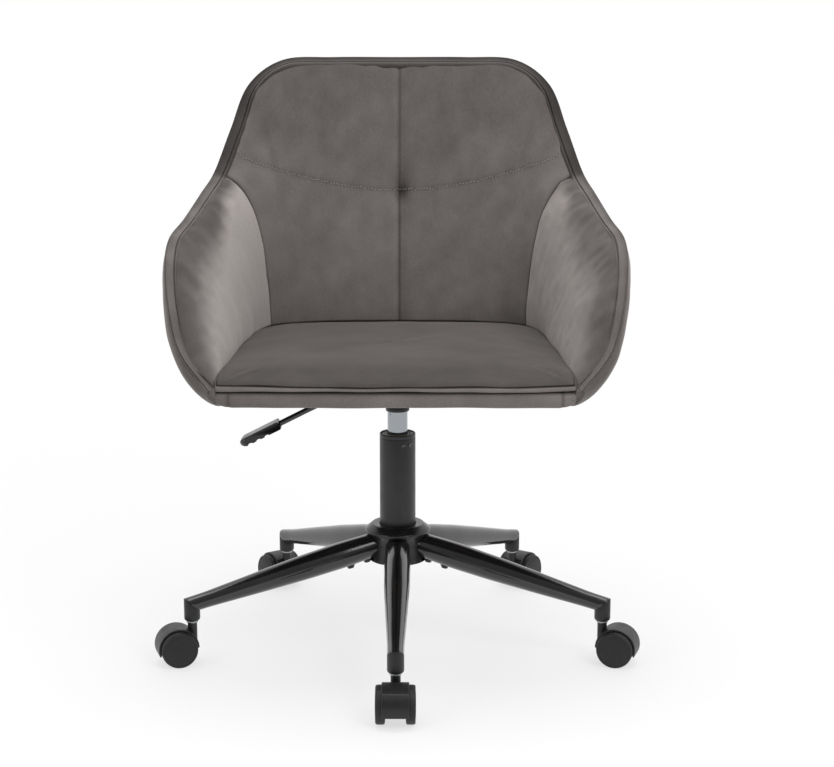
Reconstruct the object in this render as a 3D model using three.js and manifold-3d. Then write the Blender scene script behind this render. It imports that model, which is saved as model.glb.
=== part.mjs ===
// Swivel office chair: an upholstered tub seat on a gas column and a five-leg caster base.
// Millimetres, +Z up. The origin is on the floor under the column and the chair faces -Y.

import * as THREE from "three";
import { ParametricGeometry } from "three/addons/geometries/ParametricGeometry.js";
import { mergeVertices } from "three/addons/utils/BufferGeometryUtils.js";
import Module from "manifold-3d";

const wasm = await Module();
wasm.setup();

const GAP = 0.3; // clearance between pieces that touch
const ROUND = 24; // sides of a turned piece
const SMALL_ROUND = 16; // sides of a pin or a hole


// Base
const LEG_COUNT = 5;
const FIRST_LEG_ANGLE = -Math.PI / 2;
const STEM_CIRCLE = 296; // from the column axis to each caster stem
const LEG_ROOT = 30; // where a leg starts, from the column axis
const LEG_ROOT_Z = 144.5;
const LEG_ROOT_RADIUS = 16.5;
const LEG_SWELL = { radius: 18.4, along: 55 };
const LEG_TIP_Z = 82;
const LEG_TIP_RADIUS = 11;
const LEG_WALL = 1.6;
const SOCKET_LOW = 60;
const SOCKET_BORE = 5.8;
const SOCKET_BORE_DEPTH = 15;
const HUB_LOW = 120.5;
const HUB_HIGH = 172.7;

// Column
const TUBE_RADIUS = 25;
const TUBE_WALL = 2;
const TUBE_LOW = 119;
const TUBE_HIGH = 302.6;
const TUBE_FLOOR = 3;
const ROD_RADIUS = 5;
const CYLINDER_RADIUS = 14;
const CYLINDER_LOW = 130;
const CYLINDER_HIGH = 375.7;
const CYLINDER_BORE = 11.75;
const TAPER_LOW = 334;
const TAPER_NARROWING = 0.7;
const BUTTON_RADIUS = 3;
const BUTTON_HIGH = 384;

// Seat mechanism and lever
const PLATE = { x: 210, y: 160, low: 395, high: 398 };
const CHANNEL = { back: 45, webFront: -20, front: -42, low: 376, sheet: 3, inside: 24 };
const COLLAR_RADIUS = 16.5;
const BOLT = { x: 85, y: 60, radius: 4, head: 6.5, low: 389.5, high: 406 };
const PIVOT = { x: -28, z: 388.3, radius: 2 };
const LEVER_RADIUS = 4;
const LEVER_SLOPE = Math.atan(0.505);
const LEVER_KNEE = { x: -75, z: 360.2 };
const PADDLE = { start: 100, length: 62, width: 25, thickness: 12, rodDepth: 34 };

// Casters, each measured from its own stem axis; +X is the trailing side
const WHEEL_RADIUS = 25;
const WHEEL_WIDTH = 13;
const WHEEL_INSIDE = 13; // from the caster's middle plane to a wheel's inner face
const TRAIL = 22;
const AXLE_RADIUS = 3;
const HOOD_RADIUS = 28;
const HOOD_WIDTH = 35;
const NECK_RADIUS = 6.5;
const NECK_HIGH = 56.7;
const STEM_HIGH = 74.5;

// Upholstery
const BOARD = { low: 398, high: 408 };
const CUSHION = { low: 408.4, edge: 419, crown: 15, front: -240 };
const RAIL = { x: 203, front: -238, back: -213, low: 388.4, high: 407.6 };
const DUST_COVER = { low: 388.3, high: 390, openX: 226, openY: 176 };
const COVER_THICKNESS = 5;
const FRAME_DEPTH = 14;
const LAYER_GAP = 0.8; // clearance between the layers of the tub's wall
const WALL_LEVELS = 6; // steps from the bottom to the rim
const COLUMNS_PER_ROW = 2;
const BAND_DEPTH = 8;

// The tub, from the middle of the back (first row) round to a front corner (last row).
// rim: outer edge of the top band.  seat: where the lining meets the cushion.
// base: bottom edge of the outer cover.  cover: how far the cover swells out, high and low.
// band: width of the band inwards and downwards.
// lining: how far the lining swells, with the share of its height, at the rim and at the seat.
const TUB = [
  { rim: [0, 338, 808], seat: [0, 192, 428], base: [0, 214, 392],
    cover: [10, 60], band: [16, 6.5], high: [52, 0.27], low: [23, 0.33] },
  { rim: [100, 338, 808], seat: [50, 191, 428], base: [55, 213, 392],
    cover: [10, 60], band: [16, 6.5], high: [52, 0.27], low: [23, 0.33] },
  { rim: [176, 334, 804], seat: [95, 189, 428], base: [105, 210, 391],
    cover: [10, 60], band: [15, 6.5], high: [53, 0.25], low: [22, 0.34] },
  { rim: [226, 313, 768], seat: [135, 185, 427], base: [148, 203, 391],
    cover: [12, 58], band: [13, 6.5], high: [55, 0.2], low: [18, 0.38] },
  { rim: [250, 272, 704], seat: [163, 175, 427], base: [178, 190, 390],
    cover: [14, 56], band: [12, 6], high: [57, 0.12], low: [10, 0.42] },
  { rim: [268, 205, 647], seat: [184, 156, 427], base: [198, 168, 389],
    cover: [18, 55], band: [11, 4], high: [58, 0.07], low: [4, 0.46] },
  { rim: [281, 135, 622], seat: [201, 115, 426], base: [211, 120, 388],
    cover: [20, 55], band: [11, 3], high: [45, 0.07], low: [6, 0.46] },
  { rim: [294, 40, 597], seat: [209, 50, 426], base: [219, 50, 388],
    cover: [23, 54], band: [11, 2], high: [32, 0.1], low: [9, 0.45] },
  { rim: [304, -50, 580], seat: [216, -30, 426], base: [223, -30, 388],
    cover: [26, 52], band: [11, 2], high: [24, 0.12], low: [9, 0.42] },
  { rim: [301, -125, 550], seat: [221, -110, 425], base: [225, -110, 388],
    cover: [16, 46], band: [11, 3], high: [20, 0.14], low: [8, 0.4] },
  { rim: [290, -184, 502], seat: [225, -165, 421], base: [224, -165, 388],
    cover: [12, 44], band: [11, 4], high: [15, 0.16], low: [6, 0.35] },
  { rim: [273, -217, 456], seat: [227, -206, 414], base: [222, -205, 388],
    cover: [8, 30], band: [10, 3], high: [8, 0.2], low: [3, 0.3] },
  { rim: [236, -243, 413], seat: [226, -233, 404], base: [223, -230, 389],
    cover: [3, 10], band: [8, -4], high: [2, 0.3], low: [1, 0.3] },
];
const TUB_END = TUB.length - 1;
const SIDE_SEAM = 5; // the row where the arm lining meets the back lining

const velvet = material(0x625e5d, 0.85, 0);
const lining = material(0x8f8a87, 0.85, 0);
const ply = material(0xb08a5c, 0.7, 0);
const feltBlack = material(0x1c1c1c, 0.95, 0);
const enamelBlack = material(0x0b0b0c, 0.15, 0.4);
const nylonBlack = material(0x19191a, 0.5, 0);
const steelDark = material(0x313131, 0.4, 0.6);
const nylonWhite = material(0xb9b6ac, 0.5, 0);
const chrome = material(0xd2d4d6, 0.08, 1);
const steel = material(0x9a9c9e, 0.35, 1);

function material(color, roughness, metalness) {
  return new THREE.MeshStandardMaterial({ color, roughness, metalness });
}

// ---- Solids ----

function solid(geometry) {
  const bare = new THREE.BufferGeometry();
  bare.setAttribute("position", geometry.getAttribute("position"));
  bare.setIndex(geometry.getIndex());
  const merged = mergeVertices(bare, 1e-4);
  return new wasm.Manifold(
    new wasm.Mesh({
      numProp: 3,
      vertProperties: new Float32Array(merged.getAttribute("position").array),
      triVerts: new Uint32Array(merged.getIndex().array),
    }),
  );
}

function shapeOf(body) {
  const mesh = body.getMesh();
  const geometry = new THREE.BufferGeometry();
  geometry.setAttribute("position", new THREE.BufferAttribute(mesh.vertProperties, 3));
  geometry.setIndex(new THREE.BufferAttribute(mesh.triVerts, 1));
  geometry.computeVertexNormals();
  return geometry;
}

// A piece turned about Z from [radius, height] points
function turned(points, sides = ROUND) {
  const outline = points.map(([radius, height]) => new THREE.Vector2(radius, height));
  return new THREE.LatheGeometry(outline, sides).rotateX(Math.PI / 2);
}

// A ring or tube: its outline closes on itself
function ring(points, sides = ROUND) {
  return turned([...points, points[0]], sides);
}

function rod(radius, low, high, sides = SMALL_ROUND) {
  return turned([[0, low], [radius, low], [radius, high], [0, high]], sides);
}

function box(x0, x1, y0, y1, z0, z1) {
  const geometry = new THREE.BoxGeometry(x1 - x0, y1 - y0, z1 - z0);
  return geometry.translate((x0 + x1) / 2, (y0 + y1) / 2, (z0 + z1) / 2);
}

function part(name, geometry, look) {
  const mesh = new THREE.Mesh(geometry, look);
  mesh.name = name;
  return mesh;
}

// ---- Base ----

const legFall = Math.atan((LEG_ROOT_Z - LEG_TIP_Z) / (STEM_CIRCLE - LEG_ROOT));
const legLength = (STEM_CIRCLE - LEG_ROOT) / Math.cos(legFall);

// The leg's radius: it swells just outside the hub and then tapers to the tip
function legOutline() {
  return [
    [LEG_ROOT_RADIUS, 0],
    [LEG_SWELL.radius, LEG_SWELL.along],
    [17.5, 110],
    [14.6, 180],
    [LEG_TIP_RADIUS, legLength - 20],
    [LEG_TIP_RADIUS, legLength + 20],
  ];
}

// Turns a piece made along Z so that it lies along a leg
function alongLeg(geometry) {
  return geometry.rotateY(Math.PI / 2 + legFall).translate(LEG_ROOT, 0, LEG_ROOT_Z);
}

// Half space on the outer, lower side of the mitre between a leg and its socket
function beyondMitre(shift) {
  const reach = 60;
  const tilt = Math.PI / 4 + legFall / 2;
  const block = box(shift, reach, -reach, reach, -reach, reach);
  return solid(block.rotateY(tilt).translate(STEM_CIRCLE, 0, LEG_TIP_Z));
}

function leg() {
  const outside = legOutline();
  const inside = [
    [LEG_TIP_RADIUS - LEG_WALL, legLength + 20],
    [LEG_TIP_RADIUS - LEG_WALL, legLength - 20],
    [LEG_ROOT_RADIUS - LEG_WALL, 0],
  ];
  const tube = solid(alongLeg(ring([...outside, ...inside])));
  return shapeOf(tube.subtract(beyondMitre(-GAP / 2)));
}

function legSocket() {
  const chamfer = 1.6;
  const barrel = turned([
    [0, SOCKET_LOW + SOCKET_BORE_DEPTH],
    [SOCKET_BORE, SOCKET_LOW + SOCKET_BORE_DEPTH],
    [SOCKET_BORE, SOCKET_LOW],
    [LEG_TIP_RADIUS - chamfer, SOCKET_LOW],
    [LEG_TIP_RADIUS, SOCKET_LOW + chamfer],
    [LEG_TIP_RADIUS, LEG_TIP_Z + LEG_TIP_RADIUS + 5],
    [0, LEG_TIP_Z + LEG_TIP_RADIUS + 5],
  ]);
  const whole = solid(barrel.translate(STEM_CIRCLE, 0, 0));
  return shapeOf(whole.intersect(beyondMitre(GAP / 2)));
}

function hub() {
  const bore = TUBE_RADIUS + GAP;
  let body = solid(
    ring([
      [bore, HUB_LOW],
      [40.5, HUB_LOW],
      [38, 136],
      [38.5, 150],
      [44.5, 160],
      [46, 161.5],
      [46, 164.5],
      [36, HUB_HIGH],
      [bore, HUB_HIGH],
    ]),
  );
  for (let i = 0; i < LEG_COUNT; i += 1) {
    const pocket = turned([
      [0, -GAP],
      [LEG_ROOT_RADIUS + GAP, -GAP],
      [LEG_SWELL.radius + GAP, LEG_SWELL.along],
      [0, LEG_SWELL.along],
    ]);
    body = body.subtract(spunToLeg(solid(alongLeg(pocket)), i));
  }
  return shapeOf(body);
}

function legAngle(i) {
  return FIRST_LEG_ANGLE + (i * 2 * Math.PI) / LEG_COUNT;
}

function spunToLeg(body, i) {
  return body.rotate([0, 0, THREE.MathUtils.radToDeg(legAngle(i))]);
}

// ---- Column ----

function columnTube() {
  const inside = TUBE_RADIUS - TUBE_WALL;
  const hole = ROD_RADIUS + GAP;
  return ring([
    [hole, TUBE_LOW],
    [TUBE_RADIUS, TUBE_LOW],
    [TUBE_RADIUS, TUBE_HIGH - 0.8],
    [TUBE_RADIUS - 0.8, TUBE_HIGH],
    [inside, TUBE_HIGH],
    [inside, TUBE_LOW + TUBE_FLOOR],
    [hole, TUBE_LOW + TUBE_FLOOR],
  ]);
}

function guideBush() {
  const outside = TUBE_RADIUS - TUBE_WALL - GAP;
  const inside = CYLINDER_RADIUS + GAP;
  return ring([
    [inside, 248],
    [outside, 248],
    [outside, 301.4],
    [inside + 1, 301.4],
    [inside, 300.4],
  ]);
}

function thrustBearing() {
  const low = TUBE_LOW + TUBE_FLOOR + GAP;
  const hole = ROD_RADIUS + GAP;
  return ring([[hole, low], [11, low], [11, low + 3.6], [hole, low + 3.6]], SMALL_ROUND);
}

// The rod stands on the bearing and its upset end holds it down under the tube's floor
function pistonRod() {
  const flange = TUBE_LOW + TUBE_FLOOR + 3.6 + 2 * GAP;
  const head = CYLINDER_BORE - GAP;
  return turned(
    [
      [0, TUBE_LOW - 5],
      [7, TUBE_LOW - 5],
      [8, TUBE_LOW - 4],
      [8, TUBE_LOW - GAP],
      [ROD_RADIUS, TUBE_LOW - GAP],
      [ROD_RADIUS, flange],
      [8.5, flange],
      [8.5, flange + 3],
      [ROD_RADIUS, flange + 3],
      [ROD_RADIUS, 236],
      [head, 236],
      [head, 250],
      [0, 250],
    ],
    ROUND,
  );
}

function gasCylinder() {
  const hole = ROD_RADIUS + GAP;
  const valve = BUTTON_RADIUS + GAP;
  return turned([
    [0, 340],
    [CYLINDER_BORE, 340],
    [CYLINDER_BORE, CYLINDER_LOW + 3],
    [hole, CYLINDER_LOW + 3],
    [hole, CYLINDER_LOW],
    [CYLINDER_RADIUS, CYLINDER_LOW],
    [CYLINDER_RADIUS, TAPER_LOW],
    [CYLINDER_RADIUS - TAPER_NARROWING, CYLINDER_HIGH],
    [valve, CYLINDER_HIGH],
    [valve, 355],
    [0, 355],
  ]);
}

function valveButton() {
  return turned([
    [0, 362],
    [BUTTON_RADIUS, 362],
    [BUTTON_RADIUS, BUTTON_HIGH - 1],
    [BUTTON_RADIUS - 1, BUTTON_HIGH],
    [0, BUTTON_HIGH],
  ], SMALL_ROUND);
}

// ---- Mechanism and lever ----

// A seat plate with a folded channel and a taper collar welded under it
function seatMechanism() {
  const cheek = CHANNEL.inside / 2;
  const outer = cheek + CHANNEL.sheet;
  const x = PLATE.x / 2;
  const y = PLATE.y / 2;
  let body = solid(box(-x, x, -y, y, PLATE.low, PLATE.high));
  const folds = [
    box(CHANNEL.front, CHANNEL.back, cheek, outer, CHANNEL.low, PLATE.low + 1),
    box(CHANNEL.front, CHANNEL.back, -outer, -cheek, CHANNEL.low, PLATE.low + 1),
    box(CHANNEL.webFront, CHANNEL.back, -outer, outer, CHANNEL.low, CHANNEL.low + CHANNEL.sheet),
    rod(COLLAR_RADIUS, TAPER_LOW, CHANNEL.low + 1, ROUND),
  ];
  for (const fold of folds) {
    body = body.add(solid(fold));
  }
  const wide = CYLINDER_RADIUS + GAP;
  const narrow = wide - TAPER_NARROWING;
  const cuts = [
    turned([[0, TAPER_LOW - 1], [wide, TAPER_LOW - 1], [narrow, CHANNEL.low], [0, CHANNEL.low]]),
    rod(9, CHANNEL.low - 1, CHANNEL.low + 5),
    rod(PIVOT.radius + GAP, -40, 40).rotateX(Math.PI / 2).translate(PIVOT.x, 0, PIVOT.z),
    ...boltPlaces().map(([px, py]) => {
      return rod(BOLT.radius + GAP, PLATE.low - 1, PLATE.high + 1).translate(px, py, 0);
    }),
  ];
  for (const cut of cuts) {
    body = body.subtract(solid(cut));
  }
  return shapeOf(body);
}

function boltPlaces() {
  return [[-1, -1], [1, -1], [-1, 1], [1, 1]].map(([x, y]) => [x * BOLT.x, y * BOLT.y]);
}

function seatBolt() {
  const under = PLATE.low - GAP;
  return turned([
    [0, BOLT.low],
    [BOLT.head - 1.5, BOLT.low],
    [BOLT.head, BOLT.low + 1.5],
    [BOLT.head, under],
    [BOLT.radius, under],
    [BOLT.radius, BOLT.high],
    [0, BOLT.high],
  ], SMALL_ROUND);
}

function pivotPin() {
  const half = CHANNEL.inside / 2 + CHANNEL.sheet + 1;
  return rod(PIVOT.radius, -half, half).rotateX(Math.PI / 2).translate(PIVOT.x, 0, PIVOT.z);
}

// A point on the lever's straight outer run, at a distance beyond the knee
function onLever(distance) {
  return new THREE.Vector3(
    LEVER_KNEE.x - distance * Math.cos(LEVER_SLOPE),
    0,
    LEVER_KNEE.z - distance * Math.sin(LEVER_SLOPE),
  );
}

function leverRod() {
  const path = new THREE.CatmullRomCurve3([
    new THREE.Vector3(9, 0, PIVOT.z),
    new THREE.Vector3(-10, 0, PIVOT.z),
    new THREE.Vector3(PIVOT.x, 0, PIVOT.z),
    new THREE.Vector3(-44, 0, 381),
    onLever(0),
    onLever(60),
    onLever(PADDLE.start + PADDLE.rodDepth - GAP),
  ]);
  const section = new THREE.Shape().absarc(0, 0, LEVER_RADIUS, 0, 2 * Math.PI);
  const bar = new THREE.ExtrudeGeometry(section, {
    extrudePath: path,
    steps: 22,
    curveSegments: 5,
  });
  const hole = rod(PIVOT.radius + GAP, -10, 10).rotateX(Math.PI / 2);
  return shapeOf(solid(bar).subtract(solid(hole.translate(PIVOT.x, 0, PIVOT.z))));
}

// The grip: a flat bar with a round end, a bore for the rod and finger notches underneath
function leverPaddle() {
  const half = PADDLE.width / 2;
  const outline = new THREE.Shape();
  outline.moveTo(0, -half + 4);
  outline.lineTo(8, -half);
  outline.lineTo(PADDLE.length - half, -half);
  outline.absarc(PADDLE.length - half, 0, half, -Math.PI / 2, Math.PI / 2);
  outline.lineTo(8, half);
  outline.lineTo(0, half - 4);
  const bevel = 2;
  const slab = new THREE.ExtrudeGeometry(outline, {
    depth: PADDLE.thickness - 2 * bevel,
    bevelThickness: bevel,
    bevelSize: bevel,
    bevelOffset: -bevel,
    bevelSegments: 2,
    curveSegments: 8,
  });
  slab.translate(0, 0, bevel - PADDLE.thickness / 2);
  let body = solid(slab);
  const bore = rod(LEVER_RADIUS + GAP, -5, PADDLE.rodDepth).rotateY(Math.PI / 2);
  body = body.subtract(solid(bore));
  for (const along of [22, 35, 48]) {
    const notch = rod(5, -half, half).rotateX(Math.PI / 2);
    body = body.subtract(solid(notch.translate(along, 0, -PADDLE.thickness / 2 - 3)));
  }
  const start = onLever(PADDLE.start);
  const grip = shapeOf(body);
  return grip.rotateY(LEVER_SLOPE).rotateZ(Math.PI).applyMatrix4(
    new THREE.Matrix4().makeTranslation(start.x, start.y, start.z),
  );
}

// ---- Casters ----

function casterStem() {
  return turned([
    [0, 40],
    [4, 40],
    [4, NECK_HIGH + GAP],
    [8, NECK_HIGH + GAP],
    [8, SOCKET_LOW - GAP],
    [SOCKET_BORE - GAP, SOCKET_LOW - GAP],
    [SOCKET_BORE - GAP, STEM_HIGH],
    [0, STEM_HIGH],
  ], SMALL_ROUND);
}

// Turns a piece made along Z so that it lies along a caster's axle
function onAxle(geometry) {
  return geometry.rotateX(Math.PI / 2).translate(TRAIL, 0, WHEEL_RADIUS);
}

function casterHood() {
  const half = HOOD_WIDTH / 2;
  const web = WHEEL_INSIDE - GAP;
  const skirtOuter = 16;
  let body = solid(onAxle(rod(HOOD_RADIUS, -half, half, 30)));
  const below = box(-60, 60, -40, 40, -60, 0);
  const tilt = Math.atan((WHEEL_RADIUS - skirtOuter) / (2 * HOOD_RADIUS));
  below.rotateY(tilt).translate(TRAIL, 0, (WHEEL_RADIUS + skirtOuter) / 2);
  body = body.subtract(solid(below));
  body = body.add(solid(onAxle(rod(AXLE_RADIUS + 4, -web, web))));
  body = body.add(solid(rod(NECK_RADIUS, WHEEL_RADIUS + 5, NECK_HIGH)));
  for (const side of [-1, 1]) {
    const room = rod(WHEEL_RADIUS + 0.7, web, half + 5, 30);
    body = body.subtract(solid(side > 0 ? onAxle(room) : onAxle(room.rotateX(Math.PI))));
  }
  body = body.subtract(solid(onAxle(rod(AXLE_RADIUS + GAP, -half, half))));
  return shapeOf(body.subtract(solid(rod(4 + GAP, 38, NECK_HIGH + 5))));
}

function casterAxle() {
  const half = WHEEL_INSIDE + 9.7;
  return onAxle(rod(AXLE_RADIUS, -half, half));
}

// A wheel with a domed outer face; its blind bore opens on the inner face
function casterWheel(side) {
  const bore = AXLE_RADIUS + GAP;
  const wheel = turned([
    [0, 10],
    [bore, 10],
    [bore, 0],
    [WHEEL_RADIUS - 1.5, 0],
    [WHEEL_RADIUS, 1.5],
    [WHEEL_RADIUS, WHEEL_WIDTH - 3],
    [WHEEL_RADIUS - 2, WHEEL_WIDTH - 1],
    [0, WHEEL_WIDTH],
  ]);
  wheel.translate(0, 0, WHEEL_INSIDE);
  return onAxle(side > 0 ? wheel : wheel.rotateX(Math.PI));
}

// ---- Tub ----

// A smooth curve through one named entry of every row, mirrored for the left side
function roundTub(key) {
  const right = TUB.map((row) => row[key]);
  const mirrored = key === "rim" || key === "seat" || key === "base" ? -1 : 1;
  const left = right.slice(1).reverse().map(([x, y, z = 0]) => [mirrored * x, y, z]);
  const all = [...left, ...right].map(([x, y, z = 0]) => new THREE.Vector3(x, y, z));
  return new THREE.CatmullRomCurve3(all, false, "catmullrom", 0.5);
}

const tubCurves = Object.fromEntries(Object.keys(TUB[0]).map((key) => [key, roundTub(key)]));

function tubAt(key, row) {
  return tubCurves[key].getPoint((row / TUB_END + 1) / 2);
}

// The level direction pointing out of the tub at a row
function outward(row) {
  const step = 0.05;
  const before = tubAt("rim", Math.max(row - step, -TUB_END));
  const after = tubAt("rim", Math.min(row + step, TUB_END));
  return new THREE.Vector3(before.y - after.y, after.x - before.x, 0).normalize();
}

function offset(point, direction, level, drop) {
  return point.clone().addScaledVector(direction, level).add(new THREE.Vector3(0, 0, -drop));
}

// The wall's section at a row: its lining and its outer face, both from the bottom to the rim
function tubSection(row) {
  const out = outward(row);
  const rim = tubAt("rim", row);
  const seat = tubAt("seat", row);
  const base = tubAt("base", row);
  const cover = tubAt("cover", row);
  const band = tubAt("band", row);
  const high = tubAt("high", row);
  const low = tubAt("low", row);
  const lip = offset(rim, out, -band.x, band.y);
  const height = lip.z - seat.z;
  const inner = new THREE.CubicBezierCurve3(
    seat,
    offset(seat, out, low.x, -height * low.y),
    offset(lip, out, -high.x, height * high.y),
    lip,
  );
  const outer = new THREE.CubicBezierCurve3(
    base,
    offset(base, out, cover.y, 0),
    offset(rim, out, cover.x, (rim.z - base.z) * 0.35),
    rim,
  );
  const bandShare = Math.min(0.35, BAND_DEPTH / height);
  const seamShare = bandShare + (4.6 * LAYER_GAP) / height;
  return { inner, outer, bandShare, seamShare };
}

// A point in the wall, at a height share and at a depth in from the outer face
function inWall(section, height, depth) {
  const outer = section.outer.getPoint(height);
  const inner = section.inner.getPoint(height);
  const thickness = outer.distanceTo(inner);
  return outer.lerp(inner, depth(thickness) / thickness);
}

const atOuterFace = () => 0;
const atLining = (thickness) => thickness;
const coverInside = (thickness) => Math.min(COVER_THICKNESS, 0.28 * thickness);
const frameOutside = (thickness) => coverInside(thickness) + LAYER_GAP;
const frameInside = (thickness) => Math.min(FRAME_DEPTH, 0.64 * thickness);
const paddingOutside = (thickness) => frameInside(thickness) + LAYER_GAP;

// A piece of the wall between two rows, two heights and two depths. Its outline climbs one
// face and comes down the other, and its ends close flat.
function wallGeometry(rows, heights, climbing, falling, levels) {
  const columns = Math.round((rows[1] - rows[0]) * COLUMNS_PER_ROW);
  const slices = columns + 2;
  const corners = 2 * (levels + 1);
  const shape = (u, v, target) => {
    const share = THREE.MathUtils.clamp((u * slices - 1) / columns, 0, 1);
    const section = tubSection(THREE.MathUtils.lerp(rows[0], rows[1], share));
    const [bottom, top] = heights(section);
    const step = Math.round(v * corners) % corners;
    const up = step <= levels;
    const climb = up ? step / levels : 1 - (step - levels - 1) / levels;
    const height = THREE.MathUtils.lerp(bottom, top, climb);
    target.copy(inWall(section, height, up ? climbing : falling));
    if (u === 0 || u === 1) {
      target.lerp(inWall(section, height, up ? falling : climbing), 0.5);
    }
  };
  return new ParametricGeometry(shape, slices, corners);
}

function wall(rows, heights, inside, outside, levels) {
  return shapeOf(solid(wallGeometry(rows, heights, inside, outside, levels)));
}

// The same wall with its facets split the other way, so that it nests between two others
function nestedWall(rows, heights, inside, outside, levels) {
  const geometry = wallGeometry(rows, heights, outside, inside, levels);
  geometry.getIndex().array.reverse();
  return shapeOf(solid(geometry));
}

const belowBand = (section) => [0, 1 - section.seamShare];
const bandOnly = (section) => [1 - section.bandShare, 1];

// The plan outline of the tub's floor, between its base and seat edges, moved in by an inset
function floorOutline(share, inset, points) {
  const outline = [];
  for (let i = 0; i <= points; i += 1) {
    const row = TUB_END * (1 - (2 * i) / points);
    const edge = tubAt("base", row).lerp(tubAt("seat", row), share);
    const place = offset(edge, outward(row), -inset, 0);
    outline.push(new THREE.Vector2(place.x, place.y));
  }
  return outline;
}

function floorSlab(low, high, share, inset, front) {
  const outline = floorOutline(share, inset, 28).filter((point) => point.y > front + 1);
  const right = outline[0].x;
  const shape = new THREE.Shape([
    new THREE.Vector2(-right, front),
    new THREE.Vector2(right, front),
    ...outline,
  ]);
  const slab = new THREE.ExtrudeGeometry(shape, { depth: high - low, bevelEnabled: false });
  return slab.translate(0, 0, low);
}

function seatBoard() {
  let body = solid(floorSlab(BOARD.low, BOARD.high, 0.4, 3.5, RAIL.back + 1));
  for (const [x, y] of boltPlaces()) {
    const hole = rod(BOLT.radius + GAP, BOARD.low - 1, BOLT.high + GAP);
    body = body.subtract(solid(hole.translate(x, y, 0)));
  }
  return shapeOf(body);
}

function dustCover() {
  const x = DUST_COVER.openX / 2;
  const y = DUST_COVER.openY / 2;
  const slab = solid(floorSlab(DUST_COVER.low, DUST_COVER.high, 0, 3, RAIL.back + 1));
  return shapeOf(slab.subtract(solid(box(-x, x, -y, y, 300, 500))));
}

// A crowned cushion on the tub's floor outline, with a slightly bowed front
function seatCushion() {
  const outline = floorOutline(1, 1.4, 28);
  const frontSteps = 6;
  const corner = outline[0];
  for (let i = 1; i < frontSteps; i += 1) {
    const share = i / frontSteps;
    const bow = Math.sin(Math.PI * share) * (corner.y - CUSHION.front);
    outline.push(new THREE.Vector2(corner.x * (2 * share - 1), corner.y - bow));
  }
  const middle = new THREE.Vector2(0, -25);
  const rings = [
    [0, CUSHION.low],
    [0.99, CUSHION.low],
    [1, CUSHION.low + 1.5],
    [1, CUSHION.edge - 3],
    [0.985, CUSHION.edge],
    [0.8, CUSHION.edge + CUSHION.crown * 0.55],
    [0.5, CUSHION.edge + CUSHION.crown * 0.9],
    [0, CUSHION.edge + CUSHION.crown],
  ];
  const shape = (u, v, target) => {
    const point = outline[Math.round(u * outline.length) % outline.length];
    const [reach, z] = rings[Math.round(v * (rings.length - 1))];
    const place = middle.clone().lerp(point, reach);
    target.set(place.x, place.y, z);
  };
  return shapeOf(solid(new ParametricGeometry(shape, outline.length, rings.length - 1)));
}

// ---- Assembly ----

function baseParts() {
  const group = new THREE.Group();
  group.add(part("base_hub", hub(), nylonBlack));
  group.add(part("column_tube", columnTube(), steelDark));
  group.add(part("guide_bush", guideBush(), nylonWhite));
  group.add(part("thrust_bearing", thrustBearing(), steel));
  for (let i = 0; i < LEG_COUNT; i += 1) {
    const arm = new THREE.Group();
    arm.rotation.z = legAngle(i);
    arm.add(part(`leg_${i + 1}`, leg(), enamelBlack));
    arm.add(part(`leg_socket_${i + 1}`, legSocket(), nylonBlack));
    arm.add(caster(`caster_${i + 1}`));
    group.add(arm);
  }
  return group;
}

function caster(name) {
  const group = new THREE.Group();
  group.position.x = STEM_CIRCLE;
  group.add(part(`${name}_stem`, casterStem(), steel));
  group.add(part(`${name}_hood`, casterHood(), nylonBlack));
  group.add(part(`${name}_axle`, casterAxle(), steel));
  group.add(part(`${name}_wheel_left`, casterWheel(-1), nylonBlack));
  group.add(part(`${name}_wheel_right`, casterWheel(1), nylonBlack));
  return group;
}

function columnParts() {
  const group = new THREE.Group();
  group.add(part("piston_rod", pistonRod(), steel));
  group.add(part("gas_cylinder", gasCylinder(), chrome));
  group.add(part("valve_button", valveButton(), steel));
  return group;
}

function mechanismParts() {
  const group = new THREE.Group();
  group.add(part("seat_mechanism", seatMechanism(), steelDark));
  group.add(part("pivot_pin", pivotPin(), steel));
  group.add(part("lever_rod", leverRod(), steelDark));
  group.add(part("lever_paddle", leverPaddle(), nylonBlack));
  boltPlaces().forEach(([x, y], i) => {
    const bolt = part(`seat_bolt_${i + 1}`, seatBolt(), steel);
    bolt.position.set(x, y, 0);
    group.add(bolt);
  });
  return group;
}

function upholstery() {
  const group = new THREE.Group();
  const whole = [-TUB_END, TUB_END];
  const seamGap = 0.04; // rows
  const back = [-SIDE_SEAM + seamGap, SIDE_SEAM - seamGap];
  const rightArm = [SIDE_SEAM + seamGap, TUB_END];
  const leftArm = [-TUB_END, -SIDE_SEAM - seamGap];
  const frame = nestedWall(whole, belowBand, frameInside, frameOutside, WALL_LEVELS);
  const cover = wall(whole, belowBand, coverInside, atOuterFace, WALL_LEVELS);
  const padding = (rows) => wall(rows, belowBand, atLining, paddingOutside, WALL_LEVELS);
  const rail = box(-RAIL.x, RAIL.x, RAIL.front, RAIL.back, RAIL.low, RAIL.high);
  group.add(part("seat_board", seatBoard(), ply));
  group.add(part("shell_frame", frame, ply));
  group.add(part("dust_cover", dustCover(), feltBlack));
  group.add(part("seat_cushion", seatCushion(), velvet));
  group.add(part("front_rail", rail, velvet));
  group.add(part("outer_cover", cover, velvet));
  group.add(part("edge_band", wall(whole, bandOnly, atLining, atOuterFace, 1), velvet));
  group.add(part("back_cushion", padding(back), velvet));
  group.add(part("arm_pad_right", padding(rightArm), lining));
  group.add(part("arm_pad_left", padding(leftArm), lining));
  return group;
}

const chair = new THREE.Group();
chair.name = "swivel_chair";
chair.add(baseParts());
chair.add(columnParts());
chair.add(mechanismParts());
chair.add(upholstery());

export default chair;
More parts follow.
